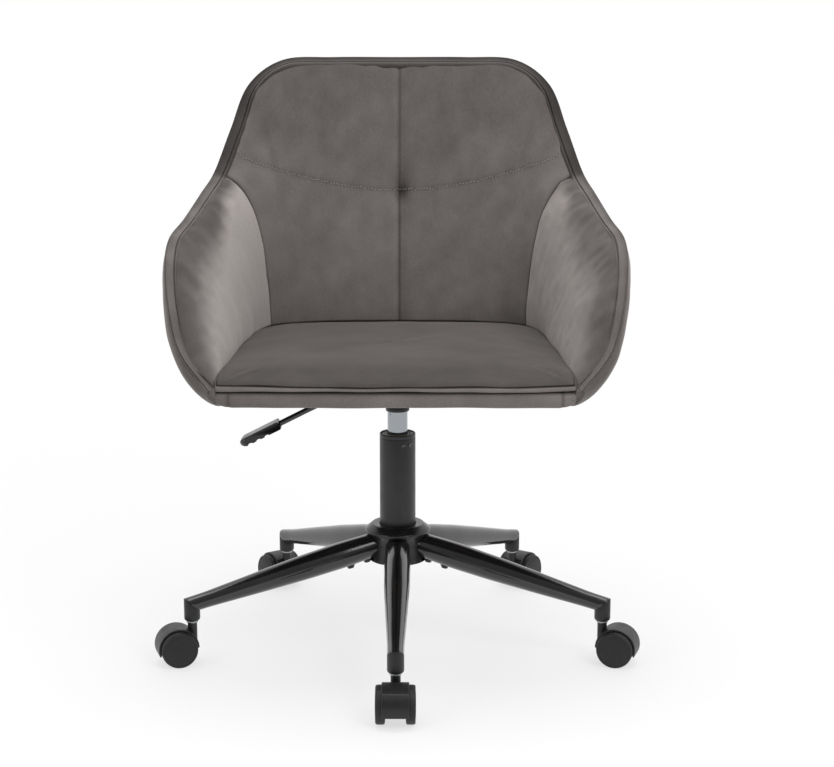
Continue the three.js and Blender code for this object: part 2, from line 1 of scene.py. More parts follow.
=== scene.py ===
"""Swivel office chair: a velvet tub seat on a gas column and a five-leg caster base."""

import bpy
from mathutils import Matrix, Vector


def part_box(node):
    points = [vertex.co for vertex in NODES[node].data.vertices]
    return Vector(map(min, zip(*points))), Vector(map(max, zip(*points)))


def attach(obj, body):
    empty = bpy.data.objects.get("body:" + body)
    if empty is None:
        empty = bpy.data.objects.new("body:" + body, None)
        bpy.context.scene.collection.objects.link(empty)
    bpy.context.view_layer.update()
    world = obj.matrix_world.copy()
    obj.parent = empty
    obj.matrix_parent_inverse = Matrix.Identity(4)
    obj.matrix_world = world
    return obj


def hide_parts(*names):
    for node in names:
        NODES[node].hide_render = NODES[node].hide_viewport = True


bl_info = {
    "name": "Swivel Tub Chair",
    "version": (1, 0, 0),
    "blender": (4, 5, 0),
    "location": "View3D > Sidebar > Chair",
    "description": "Dresses the swivel chair's frame in velvet, enamel, nylon and chrome",
    "category": "Add Mesh",
}

import math

import bpy
import numpy as np
from mathutils import Matrix, Vector

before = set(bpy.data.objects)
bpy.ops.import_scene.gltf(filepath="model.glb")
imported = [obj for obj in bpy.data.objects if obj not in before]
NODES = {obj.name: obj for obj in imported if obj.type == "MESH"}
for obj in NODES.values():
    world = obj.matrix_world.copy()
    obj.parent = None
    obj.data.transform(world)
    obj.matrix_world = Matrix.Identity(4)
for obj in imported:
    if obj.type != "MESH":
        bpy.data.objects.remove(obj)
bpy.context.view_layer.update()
MM = 0.001

# ---- The tub's form, in millimetres, from the middle of the back round to a front corner ----
# rim: outer edge of the border.  seat: where the lining meets the seat pad.
# base: bottom edge of the cover.  cover: how far the cover swells out, high and low.
# band: width of the border inwards and downwards.
# high, low: how far the lining swells, with the share of its height, at the rim and the seat.
TUB = [
    dict(rim=(0, 338, 808), seat=(0, 192, 428), base=(0, 214, 392),
         cover=(10, 60), band=(16, 6.5), high=(52, 0.27), low=(23, 0.33)),
    dict(rim=(100, 338, 808), seat=(50, 191, 428), base=(55, 213, 392),
         cover=(10, 60), band=(16, 6.5), high=(52, 0.27), low=(23, 0.33)),
    dict(rim=(176, 334, 804), seat=(95, 189, 428), base=(105, 210, 391),
         cover=(10, 60), band=(15, 6.5), high=(53, 0.25), low=(22, 0.34)),
    dict(rim=(226, 313, 768), seat=(135, 185, 427), base=(148, 203, 391),
         cover=(12, 58), band=(13, 6.5), high=(55, 0.2), low=(18, 0.38)),
    dict(rim=(250, 272, 704), seat=(163, 175, 427), base=(178, 190, 390),
         cover=(14, 56), band=(12, 6), high=(57, 0.12), low=(10, 0.42)),
    dict(rim=(268, 205, 647), seat=(184, 156, 427), base=(198, 168, 389),
         cover=(18, 55), band=(11, 4), high=(58, 0.07), low=(4, 0.46)),
    dict(rim=(281, 135, 622), seat=(201, 115, 426), base=(211, 120, 388),
         cover=(20, 55), band=(11, 3), high=(45, 0.07), low=(6, 0.46)),
    dict(rim=(294, 40, 597), seat=(209, 50, 426), base=(219, 50, 388),
         cover=(23, 54), band=(11, 2), high=(32, 0.1), low=(9, 0.45)),
    dict(rim=(304, -50, 580), seat=(216, -30, 426), base=(223, -30, 388),
         cover=(26, 52), band=(11, 2), high=(24, 0.12), low=(9, 0.42)),
    dict(rim=(301, -125, 550), seat=(221, -110, 425), base=(225, -110, 388),
         cover=(16, 46), band=(11, 3), high=(20, 0.14), low=(8, 0.4)),
    dict(rim=(290, -184, 502), seat=(225, -165, 421), base=(224, -165, 388),
         cover=(12, 44), band=(11, 4), high=(15, 0.16), low=(6, 0.35)),
    dict(rim=(273, -217, 456), seat=(227, -206, 414), base=(222, -205, 388),
         cover=(8, 30), band=(10, 3), high=(8, 0.2), low=(3, 0.3)),
    dict(rim=(236, -243, 413), seat=(226, -233, 404), base=(223, -230, 389),
         cover=(3, 10), band=(8, -4), high=(2, 0.3), low=(1, 0.3)),
]
TUB_END = len(TUB) - 1
SIDE_SEAM = 5.0  # the row where an arm lining meets the back lining
PLACES = ("rim", "seat", "base")


def tub_curve(key):
    """One entry of every row, mirrored for the left side, as an array of control points."""
    right = [np.array(row[key], float) for row in TUB]
    flip = np.array([-1.0, 1.0, 1.0]) if key in PLACES else np.ones(len(right[0]))
    left = [point * flip for point in right[:0:-1]]
    return np.array(left + right)


TUB_CURVES = {key: tub_curve(key) for key in TUB[0]}


def tub_at(key, rows):
    """A Catmull-Rom curve through one entry of the rows, at any row numbers."""
    points = TUB_CURVES[key]
    points = np.vstack([2 * points[0] - points[1], points, 2 * points[-1] - points[-2]])
    along = np.clip(np.asarray(rows, float) + TUB_END, 0, 2 * TUB_END - 1e-9)
    index = along.astype(int)
    t = (along - index)[..., None]
    a, b, c, d = (points[index + k] for k in range(4))
    return 0.5 * (2 * b + (c - a) * t + (2 * a - 5 * b + 4 * c - d) * t**2
                  + (3 * b - a - 3 * c + d) * t**3)


def outward(rows):
    """The level direction that points out of the tub at each row."""
    step = 0.05
    ahead = tub_at("rim", np.minimum(rows + step, TUB_END))
    behind = tub_at("rim", np.maximum(rows - step, -TUB_END))
    along = ahead - behind
    out = np.stack([-along[..., 1], along[..., 0], np.zeros(along.shape[:-1])], axis=-1)
    return out / np.linalg.norm(out, axis=-1, keepdims=True)


def moved(points, direction, level, drop):
    """Points moved along a level direction and then down."""
    down = np.stack([0 * drop, 0 * drop, drop], axis=-1)
    return points + direction * level[..., None] - down


def bezier(points, t):
    """A point at share t of a cubic curve with four control points."""
    a, b, c, d = points
    t = np.asarray(t, float)[..., None]
    return a * (1 - t)**3 + 3 * b * t * (1 - t)**2 + 3 * c * t * t * (1 - t) + d * t**3


def lip_at(rows):
    """The inner edge of the border, where the lining begins."""
    band = tub_at("band", rows)
    return moved(tub_at("rim", rows), outward(rows), -band[..., 0], band[..., 1])


def lining_face(rows, t):
    """The face of the lining, from the seat pad (t = 0) up to the border (t = 1)."""
    out, lip, seat = outward(rows), lip_at(rows), tub_at("seat", rows)
    high, low = tub_at("high", rows), tub_at("low", rows)
    height = lip[..., 2] - seat[..., 2]
    controls = (seat, moved(seat, out, low[..., 0], -height * low[..., 1]),
                moved(lip, out, -high[..., 0], height * high[..., 1]), lip)
    return bezier(controls, t)


def cover_face(rows, t):
    """The face of the outer cover, from its bottom edge (t = 0) up to the rim (t = 1)."""
    out, rim, base = outward(rows), tub_at("rim", rows), tub_at("base", rows)
    swell = tub_at("cover", rows)
    drop = (rim[..., 2] - base[..., 2]) * 0.35
    controls = (base, moved(base, out, swell[..., 1], 0 * drop),
                moved(rim, out, swell[..., 0], drop), rim)
    return bezier(controls, t)


def grid_of(face, rows, heights):
    """Points of a face on a grid of rows and heights."""
    row_grid, height_grid = np.meshgrid(rows, heights, indexing="ij")
    return face(row_grid, height_grid)


def grid_normals(points):
    """Which way the surface of a grid of points faces at each point."""
    across = np.gradient(points, axis=0)
    up = np.gradient(points, axis=1)
    normal = np.cross(across, up)
    return normal / np.maximum(np.linalg.norm(normal, axis=-1, keepdims=True), 1e-9)


def distance_from_start(points, axis):
    """How far each grid point lies along its own grid line from the line's start."""
    steps = np.linalg.norm(np.diff(points, axis=axis), axis=-1)
    total = np.cumsum(steps, axis=axis)
    pad = [(0, 0), (0, 0)]
    pad[axis] = (1, 0)
    return np.pad(total, pad)


def distance_from_end(points, axis):
    return np.flip(distance_from_start(np.flip(points, axis), axis), axis)


def waves(points, size, seed):
    """Smooth, repeatable unevenness between -1 and 1, about size millimetres across."""
    source = np.random.default_rng(seed)
    total = np.zeros(points.shape[:-1])
    for _ in range(14):
        direction = source.normal(size=3)
        direction *= 2 * math.pi / (size * source.uniform(0.7, 1.6)) / np.linalg.norm(direction)
        total += np.sin(points @ direction + source.uniform(0, 2 * math.pi))
    return total / 5.0


def new_mesh(name, vertices, faces):
    """A smooth piece from vertices in millimetres."""
    mesh = bpy.data.meshes.new(name)
    mesh.from_pydata((np.asarray(vertices) * MM).tolist(), [], faces)
    mesh.update()
    piece = bpy.data.objects.new(name, mesh)
    bpy.context.scene.collection.objects.link(piece)
    mesh.shade_smooth()
    return piece


def slab(name, front, back, closed=False):
    """A closed padded body between a front grid and a back grid of the same size."""
    columns, levels = front.shape[:2]
    count = columns * levels
    vertices = np.vstack([front.reshape(-1, 3), back.reshape(-1, 3)])
    faces = []
    last = columns if closed else columns - 1
    for i in range(last):
        for j in range(levels - 1):
            a, b = i * levels + j, ((i + 1) % columns) * levels + j
            faces.append((a, b, b + 1, a + 1))
            faces.append((count + a, count + a + 1, count + b + 1, count + b))
        for j, low in ((0, True), (levels - 1, False)):
            a, b = i * levels + j, ((i + 1) % columns) * levels + j
            side = (a, count + a, count + b, b)
            faces.append(side if low else side[::-1])
    if not closed:
        for j in range(levels - 1):
            a, b = j, (columns - 1) * levels + j
            faces.append((a, a + 1, count + a + 1, count + a))
            faces.append((b, count + b, count + b + 1, b + 1))
    return new_mesh(name, vertices, faces)


def keep_pile_and_painted_light(piece, values):
    """Stores at each vertex the velvet's painted light (above 0) and painted shade (below 0), with
    random tone mixed in.
    """
    layer = piece.data.attributes.new("pile_and_painted_light", "FLOAT", "POINT")
    data = np.zeros(len(piece.data.vertices))
    values = np.clip(np.asarray(values, float).ravel(), -1, 1)
    data[:values.size] = values
    layer.data.foreach_set("value", data)


def settle(piece, sewn, pressure=4.0, cap=4.0):
    """Blows the fabric up over its filling by cloth simulation, held where it is sewn down.

    sewn is 1 where a vertex is held and 0 where it is free; cap is the furthest move in mm.
    """
    pick(piece)
    scene = bpy.context.scene
    mesh = piece.data
    before = np.zeros(len(mesh.vertices) * 3)
    mesh.vertices.foreach_get("co", before)
    weights = np.round(np.clip(np.asarray(sewn, float).ravel(), 0, 1), 1)
    group = piece.vertex_groups.new(name="sewn")
    for weight in np.unique(weights[weights > 0]):
        group.add(np.flatnonzero(weights == weight).tolist(), float(weight), "REPLACE")
    cloth = piece.modifiers.new("fabric", "CLOTH")
    fabric = cloth.settings
    fabric.quality = 4
    fabric.mass = 0.3
    fabric.tension_stiffness = fabric.compression_stiffness = 12
    fabric.shear_stiffness = 5
    fabric.bending_stiffness = 0.4
    fabric.vertex_group_mass = "sewn"
    fabric.use_pressure = True
    fabric.uniform_pressure_force = pressure
    fabric.effector_weights.gravity = 0
    cloth.collision_settings.use_collision = False
    cloth.point_cache.frame_start, cloth.point_cache.frame_end = 1, 20
    for moment in range(1, 21):
        scene.frame_set(moment)
    settled = piece.evaluated_get(bpy.context.evaluated_depsgraph_get())
    after = np.zeros_like(before)
    settled.data.vertices.foreach_get("co", after)
    piece.modifiers.remove(cloth)
    piece.vertex_groups.remove(group)
    scene.frame_set(1)
    step = (after - before).reshape(-1, 3) / MM
    size = np.linalg.norm(step, axis=1, keepdims=True)
    step *= np.tanh(size / cap) * cap / np.maximum(size, 1e-9)
    mesh.vertices.foreach_set("co", before + (step * MM).ravel())
    mesh.update()


# ---- Hard pieces, modelled as by hand ----

DOUBLED = 1e-6  # vertices closer than this, in metres, are one
ONTO_Y = Matrix.Rotation(math.pi / 2, 4, "X")  # lays a piece made along Z along Y


def clear_selection():
    """Leaves edit mode and deselects everything, the frame's own pieces too."""
    if bpy.context.object and bpy.context.object.mode != "OBJECT":
        bpy.ops.object.mode_set(mode="OBJECT")
    bpy.ops.object.select_all(action="DESELECT")


def pick(piece):
    clear_selection()
    piece.select_set(True)
    bpy.context.view_layer.objects.active = piece
    return piece


def turned(name, profile, steps=72):
    """A closed body spun about Z from (radius, height) points in millimetres."""
    clear_selection()
    bpy.ops.mesh.primitive_plane_add(size=MM)
    piece = bpy.context.object
    piece.name = piece.data.name = name
    bpy.ops.object.mode_set(mode="EDIT")
    bpy.ops.mesh.select_all(action="SELECT")
    bpy.ops.mesh.merge(type="CENTER")
    at = Vector((0.0, 0.0, 0.0))
    for index, (radius, height) in enumerate(profile):
        to = Vector((radius, 0.0, height)) * MM
        step = {"value": to - at}
        if index:
            bpy.ops.mesh.extrude_vertices_move(TRANSFORM_OT_translate=step)
        else:
            bpy.ops.transform.translate(**step)
        at = to
    bpy.ops.mesh.select_all(action="SELECT")
    bpy.ops.mesh.spin(steps=steps, angle=2 * math.pi, center=(0, 0, 0), axis=(0, 0, 1))
    close_up()
    return piece


def close_up():
    """Merges doubled vertices, points the faces outwards and leaves edit mode."""
    bpy.ops.mesh.select_all(action="SELECT")
    bpy.ops.mesh.remove_doubles(threshold=DOUBLED)
    bpy.ops.mesh.normals_make_consistent(inside=False)
    bpy.ops.object.mode_set(mode="OBJECT")


def ring(name, profile, steps=72):
    return turned(name, [*profile, profile[0]], steps)


def rod(name, radius, low, high, steps=72):
    return turned(name, [(0, low), (radius, low), (radius, high), (0, high)], steps)


def block(name, low, high):
    """A box between two corners in millimetres."""
    clear_selection()
    low, high = Vector(low) * MM, Vector(high) * MM
    bpy.ops.mesh.primitive_cube_add(size=1, location=(low + high) / 2)
    piece = bpy.context.object
    piece.name = piece.data.name = name
    piece.scale = high - low
    bpy.ops.object.transform_apply(location=True, rotation=True, scale=True)
    return piece


def shift(x, y, z):
    """A move in millimetres."""
    return Matrix.Translation(Vector((x, y, z)) * MM)


def place(piece, matrix):
    piece.data.transform(matrix)
    piece.data.update()
    return piece


def soften(piece, width, segments=3, angle=32):
    """Rounds the sharp edges by a width in millimetres and smooths the shading."""
    pick(piece)
    bevel = piece.modifiers.new("edge", "BEVEL")
    bevel.width = width * MM
    bevel.segments = segments
    bevel.limit_method = "ANGLE"
    bevel.angle_limit = math.radians(angle)
    bpy.ops.object.modifier_apply(modifier=bevel.name)
    bpy.ops.object.shade_smooth_by_angle(angle=math.radians(40))
    return piece


def carve(piece, tool, operation="DIFFERENCE"):
    """Cuts a tool out of a piece, or joins it on, and removes the tool."""
    pick(piece)
    cut = piece.modifiers.new("carve", "BOOLEAN")
    cut.operation = operation
    cut.object = tool
    cut.solver = "EXACT"
    bpy.ops.object.modifier_apply(modifier=cut.name)
    bpy.data.meshes.remove(tool.data)
    return piece


def sliced(piece, point, normal):
    """Cuts a piece off flat beyond a plane, given in metres."""
    pick(piece)
    bpy.ops.object.mode_set(mode="EDIT")
    bpy.ops.mesh.select_all(action="SELECT")
    bpy.ops.mesh.bisect(plane_co=point, plane_no=normal, use_fill=True, clear_outer=True)
    bpy.ops.object.mode_set(mode="OBJECT")
    return piece


def copy_at(piece, name, matrix):
    """A copy with its own mesh, moved by a matrix in metres."""
    twin = bpy.data.objects.new(name, piece.data.copy())
    twin.data.name = name
    bpy.context.scene.collection.objects.link(twin)
    return place(twin, matrix)


def discard(piece):
    bpy.data.meshes.remove(piece.data)


def finished(piece, body, material, slot, *nodes):
    """Gives a piece its finish, its body and the frame nodes that it stands for."""
    piece.data.materials.clear()
    piece.data.materials.append(material)
    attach(piece, body)
    if nodes:
        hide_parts(*nodes)
    return piece


# ---- Materials ----


def linear(code):
    """An sRGB hex colour as a linear one."""
    parts = [int(code[i:i + 2], 16) / 255 for i in (1, 3, 5)]
    return [c / 12.92 if c <= 0.04045 else ((c + 0.055) / 1.055)**2.4 for c in parts] + [1.0]


def connect(tree, node, sockets):
    """Gives each named or numbered socket its value, or a link from another node's output."""
    for key, value in sockets.items():
        if isinstance(value, bpy.types.NodeSocket):
            tree.links.new(value, node.inputs[key])
        else:
            node.inputs[key].default_value = value


def add_node(tree, kind, sockets=None, **settings):
    """Adds a node, with its settings and with values or links for its sockets."""
    node = tree.nodes.new(kind)
    for key, value in settings.items():
        setattr(node, key, value)
    connect(tree, node, sockets or {})
    return node


def new_material(name):
    made = bpy.data.materials.new(name)
    made.use_nodes = True
    tree = made.node_tree
    shader = tree.nodes["Principled BSDF"]
    where = add_node(tree, "ShaderNodeTexCoord").outputs["Object"]
    return made, tree, shader, where


def per_mm(size):
    """The scale of a pattern whose patches are about size millimetres across."""
    return 1 / (size * MM)


def dress(tree, shader, tone, colours, gloss, relief, surface):
    """Sets a finish: two colours mixed by a pattern, a gloss and a fine relief.

    gloss: a pattern, with the least and the most roughness that it gives.
    relief: a pattern, the depth in millimetres that it stands for, and its strength.
    """
    tint = add_node(tree, "ShaderNodeMix", {
        0: tone, 6: linear(colours[0]), 7: linear(colours[1])}, data_type="RGBA")
    if gloss:
        patches = add_node(tree, "ShaderNodeMapRange", {
            "Value": gloss[0], "From Min": 0.3, "From Max": 0.7, "To Min": gloss[1],
            "To Max": gloss[2]})
        connect(tree, shader, {"Roughness": patches.outputs["Result"]})
    raised = add_node(tree, "ShaderNodeBump", {
        "Height": relief[0], "Distance": relief[1] * MM, "Strength": relief[2]})
    connect(tree, shader, {
        "Base Color": tint.outputs[2], "Normal": raised.outputs["Normal"], **surface})


# brushed is the colour of the velvet's painted light, a painted sheen, not of brushed pile
def velvet(name, dark, body, brushed):
    """Polyester velvet, cut pile: matt, bright where seen edge on, patchy where brushed, with
    painted light and shade from a stored value at each vertex.
    """
    made, tree, shader, where = new_material(name)
    mottle = 0.0
    # the size, detail and roughness of the brushed patches and of the combed streaks, how far
    # each is drawn out along the hang of the cloth, and its share
    for size, detail, rough, hang, share in (
            (24, 5.0, 0.65, 0.45, 0.75), (3.5, 3.0, 0.5, 0.12, 0.25)):
        drawn_out = add_node(tree, "ShaderNodeMapping", {"Vector": where, "Scale": (1, 1, hang)})
        patches = add_node(tree, "ShaderNodeTexNoise", {
            "Vector": drawn_out.outputs["Vector"], "Scale": per_mm(size), "Detail": detail,
            "Roughness": rough})
        clear = add_node(tree, "ShaderNodeMapRange", {
            "Value": patches.outputs["Fac"], "From Min": 0.3, "From Max": 0.7})
        mottle = add_node(tree, "ShaderNodeMath", {
            0: clear.outputs["Result"], 1: share, 2: mottle}, operation="MULTIPLY_ADD").outputs[0]
    # real pile is about 0.3 mm between tufts; drawn at 1.5 mm so that it shows
    pile = add_node(tree, "ShaderNodeTexNoise", {
        "Vector": where, "Scale": per_mm(1.5), "Detail": 3.0, "Roughness": 0.7}).outputs["Fac"]
    tone = add_node(tree, "ShaderNodeMix", {
        0: mottle, 6: linear(dark), 7: linear(body)}, data_type="RGBA").outputs[2]
    pile_and_painted_light = add_node(tree, "ShaderNodeAttribute", attribute_name="pile_and_painted_light").outputs["Fac"]
    # below 0 the stored value mixes towards near black: painted shade
    down = add_node(tree, "ShaderNodeMapRange", {"Value": pile_and_painted_light, "From Min": -1.0, "From Max": 0.0})
    tone = add_node(tree, "ShaderNodeMix", {
        0: down.outputs["Result"], 6: linear("#221F1E"), 7: tone}, data_type="RGBA").outputs[2]
    # above 0 it mixes towards the brushed colour: painted light, a painted sheen
    up = add_node(tree, "ShaderNodeMapRange", {"Value": pile_and_painted_light, "From Min": 0.0, "From Max": 1.0})
    tone = add_node(tree, "ShaderNodeMix", {
        0: up.outputs["Result"], 6: tone, 7: linear(brushed)}, data_type="RGBA").outputs[2]
    speck = add_node(tree, "ShaderNodeMapRange", {
        "Value": pile, "From Min": 0.3, "From Max": 0.7, "To Min": 0.84, "To Max": 1.16})
    tone = add_node(tree, "ShaderNodeHueSaturation", {
        "Value": speck.outputs["Result"], "Color": tone})
    raised = add_node(tree, "ShaderNodeBump", {
        "Height": pile, "Distance": 0.3 * MM, "Strength": 0.6})
    connect(tree, shader, {
        "Base Color": tone.outputs["Color"], "Roughness": 0.92, "Specular IOR Level": 0.12,
        "Sheen Weight": 0.4, "Sheen Roughness": 0.4, "Sheen Tint": linear("#D8D2CE"),
        "Normal": raised.outputs["Normal"]})
    return made


def enamel(name, colour):
    """Stove enamel on steel tube: glossy, with a faint orange peel."""
    made, tree, shader, where = new_material(name)
    peel, haze, drift = [add_node(tree, "ShaderNodeTexNoise", {
        "Vector": where, "Scale": per_mm(size), "Detail": detail}).outputs["Fac"]
        for size, detail in ((3.5, 2.0), (40, 2.0), (60, 3.0))]
    dress(tree, shader, drift, (colour, "#161617"), (haze, 0.16, 0.24), (peel, 0.05, 0.35),
          {"IOR": 1.5, "Coat Weight": 0.6, "Coat Roughness": 0.08})
    return made


def plastic(name, colour, second, rough=0.5, grain=0.5):
    """Moulded nylon or spun polyester: a fine grain and a soft, slightly patchy sheen."""
    made, tree, shader, where = new_material(name)
    texture, drift, haze = [add_node(tree, "ShaderNodeTexNoise", {
        "Vector": where, "Scale": per_mm(size), "Detail": detail,
        "Roughness": fade}).outputs["Fac"]
        for size, detail, fade in ((grain, 3.0, 0.6), (30, 2.0, 0.5), (12, 3.0, 0.5))]
    dress(tree, shader, drift, (colour, second), (haze, rough - 0.06, rough + 0.06),
          (texture, 0.04, 0.6), {"IOR": 1.49})
    return made


def powder_coat(name, colour, second):
    """Powder coat on steel: satin with a fine pebble."""
    made, tree, shader, where = new_material(name)
    pebble = add_node(tree, "ShaderNodeTexVoronoi", {"Vector": where, "Scale": per_mm(0.7)})
    drift, haze = [add_node(tree, "ShaderNodeTexNoise", {
        "Vector": where, "Scale": per_mm(size), "Detail": 3.0}).outputs["Fac"]
        for size in (35, 18)]
    dress(tree, shader, drift, (colour, second), (haze, 0.36, 0.46),
          (pebble.outputs["Distance"], 0.04, 0.35), {"IOR": 1.5})
    return made


def plated(name, colour, rough):
    """Ground steel under chrome or zinc: bright metal, with faint rings from the grinding."""
    made, tree, shader, where = new_material(name)
    squash = add_node(tree, "ShaderNodeMapping", {"Vector": where, "Scale": (0.02, 0.02, 1.0)})
    rings, haze = [add_node(tree, "ShaderNodeTexNoise", {
        "Vector": vector, "Scale": per_mm(size), "Detail": detail}).outputs["Fac"]
        for vector, size, detail in ((squash.outputs["Vector"], 0.8, 2.0), (where, 9, 3.0))]
    dress(tree, shader, rings, (colour, "#9DA1A5"), (haze, rough, rough + 0.08),
          (rings, 0.004, 0.15), {"Metallic": 1.0})
    return made


def plywood(name):
    """Birch plywood: pale, with long grain."""
    made, tree, shader, where = new_material(name)
    stretch = add_node(tree, "ShaderNodeMapping", {"Vector": where, "Scale": (0.08, 1.0, 1.0)})
    grain = add_node(tree, "ShaderNodeTexNoise", {
        "Vector": stretch.outputs["Vector"], "Scale": per_mm(4.0), "Detail": 5.0,
        "Roughness": 0.6}).outputs["Fac"]
    dress(tree, shader, grain, ("#A87E50", "#CDA878"), None, (grain, 0.1, 0.3),
          {"Roughness": 0.7})
    return made


def felt(name):
    """Spun-bonded black cloth: matt, with an embossed dot grid."""
    made, tree, shader, where = new_material(name)
    dots = add_node(tree, "ShaderNodeTexVoronoi", {
        "Vector": where, "Scale": per_mm(1.6), "Randomness": 0.0}, distance="CHEBYCHEV")
    fuzz = add_node(tree, "ShaderNodeTexNoise", {
        "Vector": where, "Scale": per_mm(2.0), "Detail": 4.0}).outputs["Fac"]
    dress(tree, shader, fuzz, ("#161616", "#2A2A2A"), None,
          (dots.outputs["Distance"], 0.2, 0.5), {"Roughness": 0.95})
    return made


FINISHES = {}


def make_finishes(settings):
    FINISHES.update(
        velvet=velvet("velvet_polyester_grey", settings.velvet_dark, settings.velvet_body,
                      settings.velvet_painted_light),
        thread=plastic("thread_polyester_grey", "#8A8480", "#9C9692", 0.7, 0.3),
        enamel=enamel("enamel_black_gloss", "#0C0C0D"),
        nylon=plastic("nylon_black_moulded", "#0F0F10", "#171718", 0.42, 0.5),
        wheel=plastic("nylon_wheel_matt", "#101011", "#171718", 0.55, 0.6),
        coat=powder_coat("powder_coat_charcoal", "#181818", "#202021"),
        chrome=plated("chrome_ground_rod", "#989CA0", 0.08),
        grip=plastic("nylon_grip_gloss", "#101011", "#18181A", 0.24, 0.7),
        zinc=plated("steel_zinc_plated", "#A9ABAD", 0.28),
        bush=plastic("nylon_natural", "#B9B6AC", "#CCC9C0", 0.45, 0.6),
        plywood=plywood("birch_plywood"),
        felt=felt("felt_spunbond_black"),
    )


# ---- Sizes that the operators share ----

LEG_COUNT = 5
STEM_CIRCLE = 296.0  # radius on which the casters' stems stand
LEG_ROOT = (30.0, 144.5)  # out and up, where a leg's middle line starts
LEG_TIP_Z = 82.0  # where that line meets the stem's
LEG_FALL = math.atan((LEG_ROOT[1] - LEG_TIP_Z) / (STEM_CIRCLE - LEG_ROOT[0]))
LEG_LENGTH = (STEM_CIRCLE - LEG_ROOT[0]) / math.cos(LEG_FALL)
MITRE_TILT = math.pi / 4 + LEG_FALL / 2
TRAIL = 22.0  # how far a caster's axle stands off its stem
WHEEL_RADIUS = 25.0
TUBE_RADIUS = 25.0
LEVER_KNEE = Vector((-75, 0, 360.2))
LEVER_SLOPE = math.atan(0.505)
LEVER_RUN = Vector((-math.cos(LEVER_SLOPE), 0, -math.sin(LEVER_SLOPE)))
GRIP_START = 100.0  # from the lever's knee
PAD_EDGE = 426.0  # height of the seat pad's edge at the sides and the back
PAD_FRONT = -240.0
ROLL_SEAM = 211.0  # half the distance between the front roll's two seams


def leg_turn(index):
    """Turns a piece made along X onto a leg; the first leg points to the front."""
    return Matrix.Rotation(-math.pi / 2 + index * 2 * math.pi / LEG_COUNT, 4, "Z")


def along_leg():
    """Lays a piece made along Z on the first leg's line."""
    return shift(LEG_ROOT[0], 0, LEG_ROOT[1]) @ Matrix.Rotation(math.pi / 2 + LEG_FALL, 4, "Y")


def cad_size(node):
    """The low and high corners of a frame node's box, in millimetres."""
    low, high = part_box(node)
    return Vector(low) / MM, Vector(high) / MM


class ChairLooks(bpy.types.PropertyGroup):
    velvet_dark: bpy.props.StringProperty(
        name="Velvet, shaded", description="Pile brushed away from the light", default="#5A5553")
    velvet_body: bpy.props.StringProperty(
        name="Velvet, body", description="Pile at rest", default="#676260")
    # the colour that the velvet's painted light mixes towards, a painted sheen, not brushed pile
    velvet_painted_light: bpy.props.StringProperty(
        name="Velvet, brushed", description="Pile brushed towards the light", default="#A09A97")


class ChairSizes(bpy.types.PropertyGroup):
    piping: bpy.props.FloatProperty(
        name="Piping", description="Radius of the piped seams", default=1.7 * MM,
        subtype="DISTANCE")
    stitch: bpy.props.FloatProperty(
        name="Stitch", description="Spacing of the sewn stitches", default=4.5 * MM,
        subtype="DISTANCE")


# ---- Upholstery ----


def seam_height(x):
    """Height of the smile-shaped seam across the back, in millimetres."""
    return 616 + 56 * (np.abs(x) / 250)**1.85


def back_shape(columns, levels):
    """The face of the back lining, sunk at its seams and at the tuft."""
    spread = np.linspace(-1, 1, columns)
    rows = (SIDE_SEAM - 0.02) * np.sign(spread) * np.abs(spread)**1.3
    heights = np.linspace(0.0, 0.995, levels)
    points = grid_of(lining_face, rows, heights)
    normal = grid_normals(points)
    x, z = points[..., 0], points[..., 2]
    side = np.minimum(distance_from_start(points, 0), distance_from_end(points, 0))
    top = distance_from_end(points, 1)
    low = distance_from_start(points, 1)
    seam = np.abs(z - seam_height(x))
    tuft = np.hypot(x - 6, (z - 615) * 0.8)
    lift = 3.0 * (1 - np.exp(-side / 30)) * (1 - np.exp(-top / 30))
    lift -= 2.0 * np.exp(-side / 3.5) + 1.2 * np.exp(-top / 2.5) + 1.5 * np.exp(-low / 10)
    joined_at = 1 - np.exp(-top / 25)
    lift -= joined_at * (1.7 * np.exp(-np.abs(x - 0.6) / 1.2) + 1.4 * np.exp(-np.abs(x) / 15))
    lift -= 0.45 * np.exp(-seam / 2.0) + 1.0 * np.exp(-seam / 18)
    lift -= 5.0 * np.exp(-(tuft / 17)**2) + 2.5 * np.exp(-tuft / 6)
    lift += 0.6 * waves(points, 90, 3) + 0.25 * waves(points, 24, 4)
    return points + normal * lift[..., None], normal, points


def back_painted_light_and_shade(front):
    """Painted shade along the seams, in the tuft and over the lower right, a painted highlight
    beside the middle seam, lighter towards the bottom, and random tone.
    """
    x, z = front[..., 0], front[..., 2]
    tuft = np.hypot(x - 6, (z - 613) * 0.7)
    shade = 0.02 + 0.04 * waves(front, 120, 41) + 0.04 * waves(front, 45, 42)
    # lighter towards the bottom
    shade += 0.2 * np.clip((700 - z) / 200, -0.5, 1)
    # painted shade in the middle seam, then a painted highlight just left of it
    shade -= 0.6 * np.exp(-np.abs(x - 1.4) / 1.3) + 0.10 * np.exp(-np.abs(x - 8) / 9)
    shade += 0.10 * np.exp(-np.abs(x + 5) / 5)
    # painted shade along the smile-shaped seam
    shade -= 0.16 * np.exp(-np.abs(z - seam_height(x)) / 2.2)
    # painted shade in the tuft
    shade -= 0.75 * np.exp(-(tuft / 8.5)**2)
    # painted shade over the lower right, which faces away from the key lamp
    right = np.clip(x / 160, 0, 1) * np.clip((640 - z) / 160, 0, 1)
    return shade - 0.1 * right


def arm_gaps(side, points):
    """How far each point of an arm lining lies from its side seam, border, seat and front end."""
    back, front = distance_from_start(points, 0), distance_from_end(points, 0)
    seam, end = (back, front) if side > 0 else (front, back)
    return seam, distance_from_end(points, 1), distance_from_start(points, 1), end


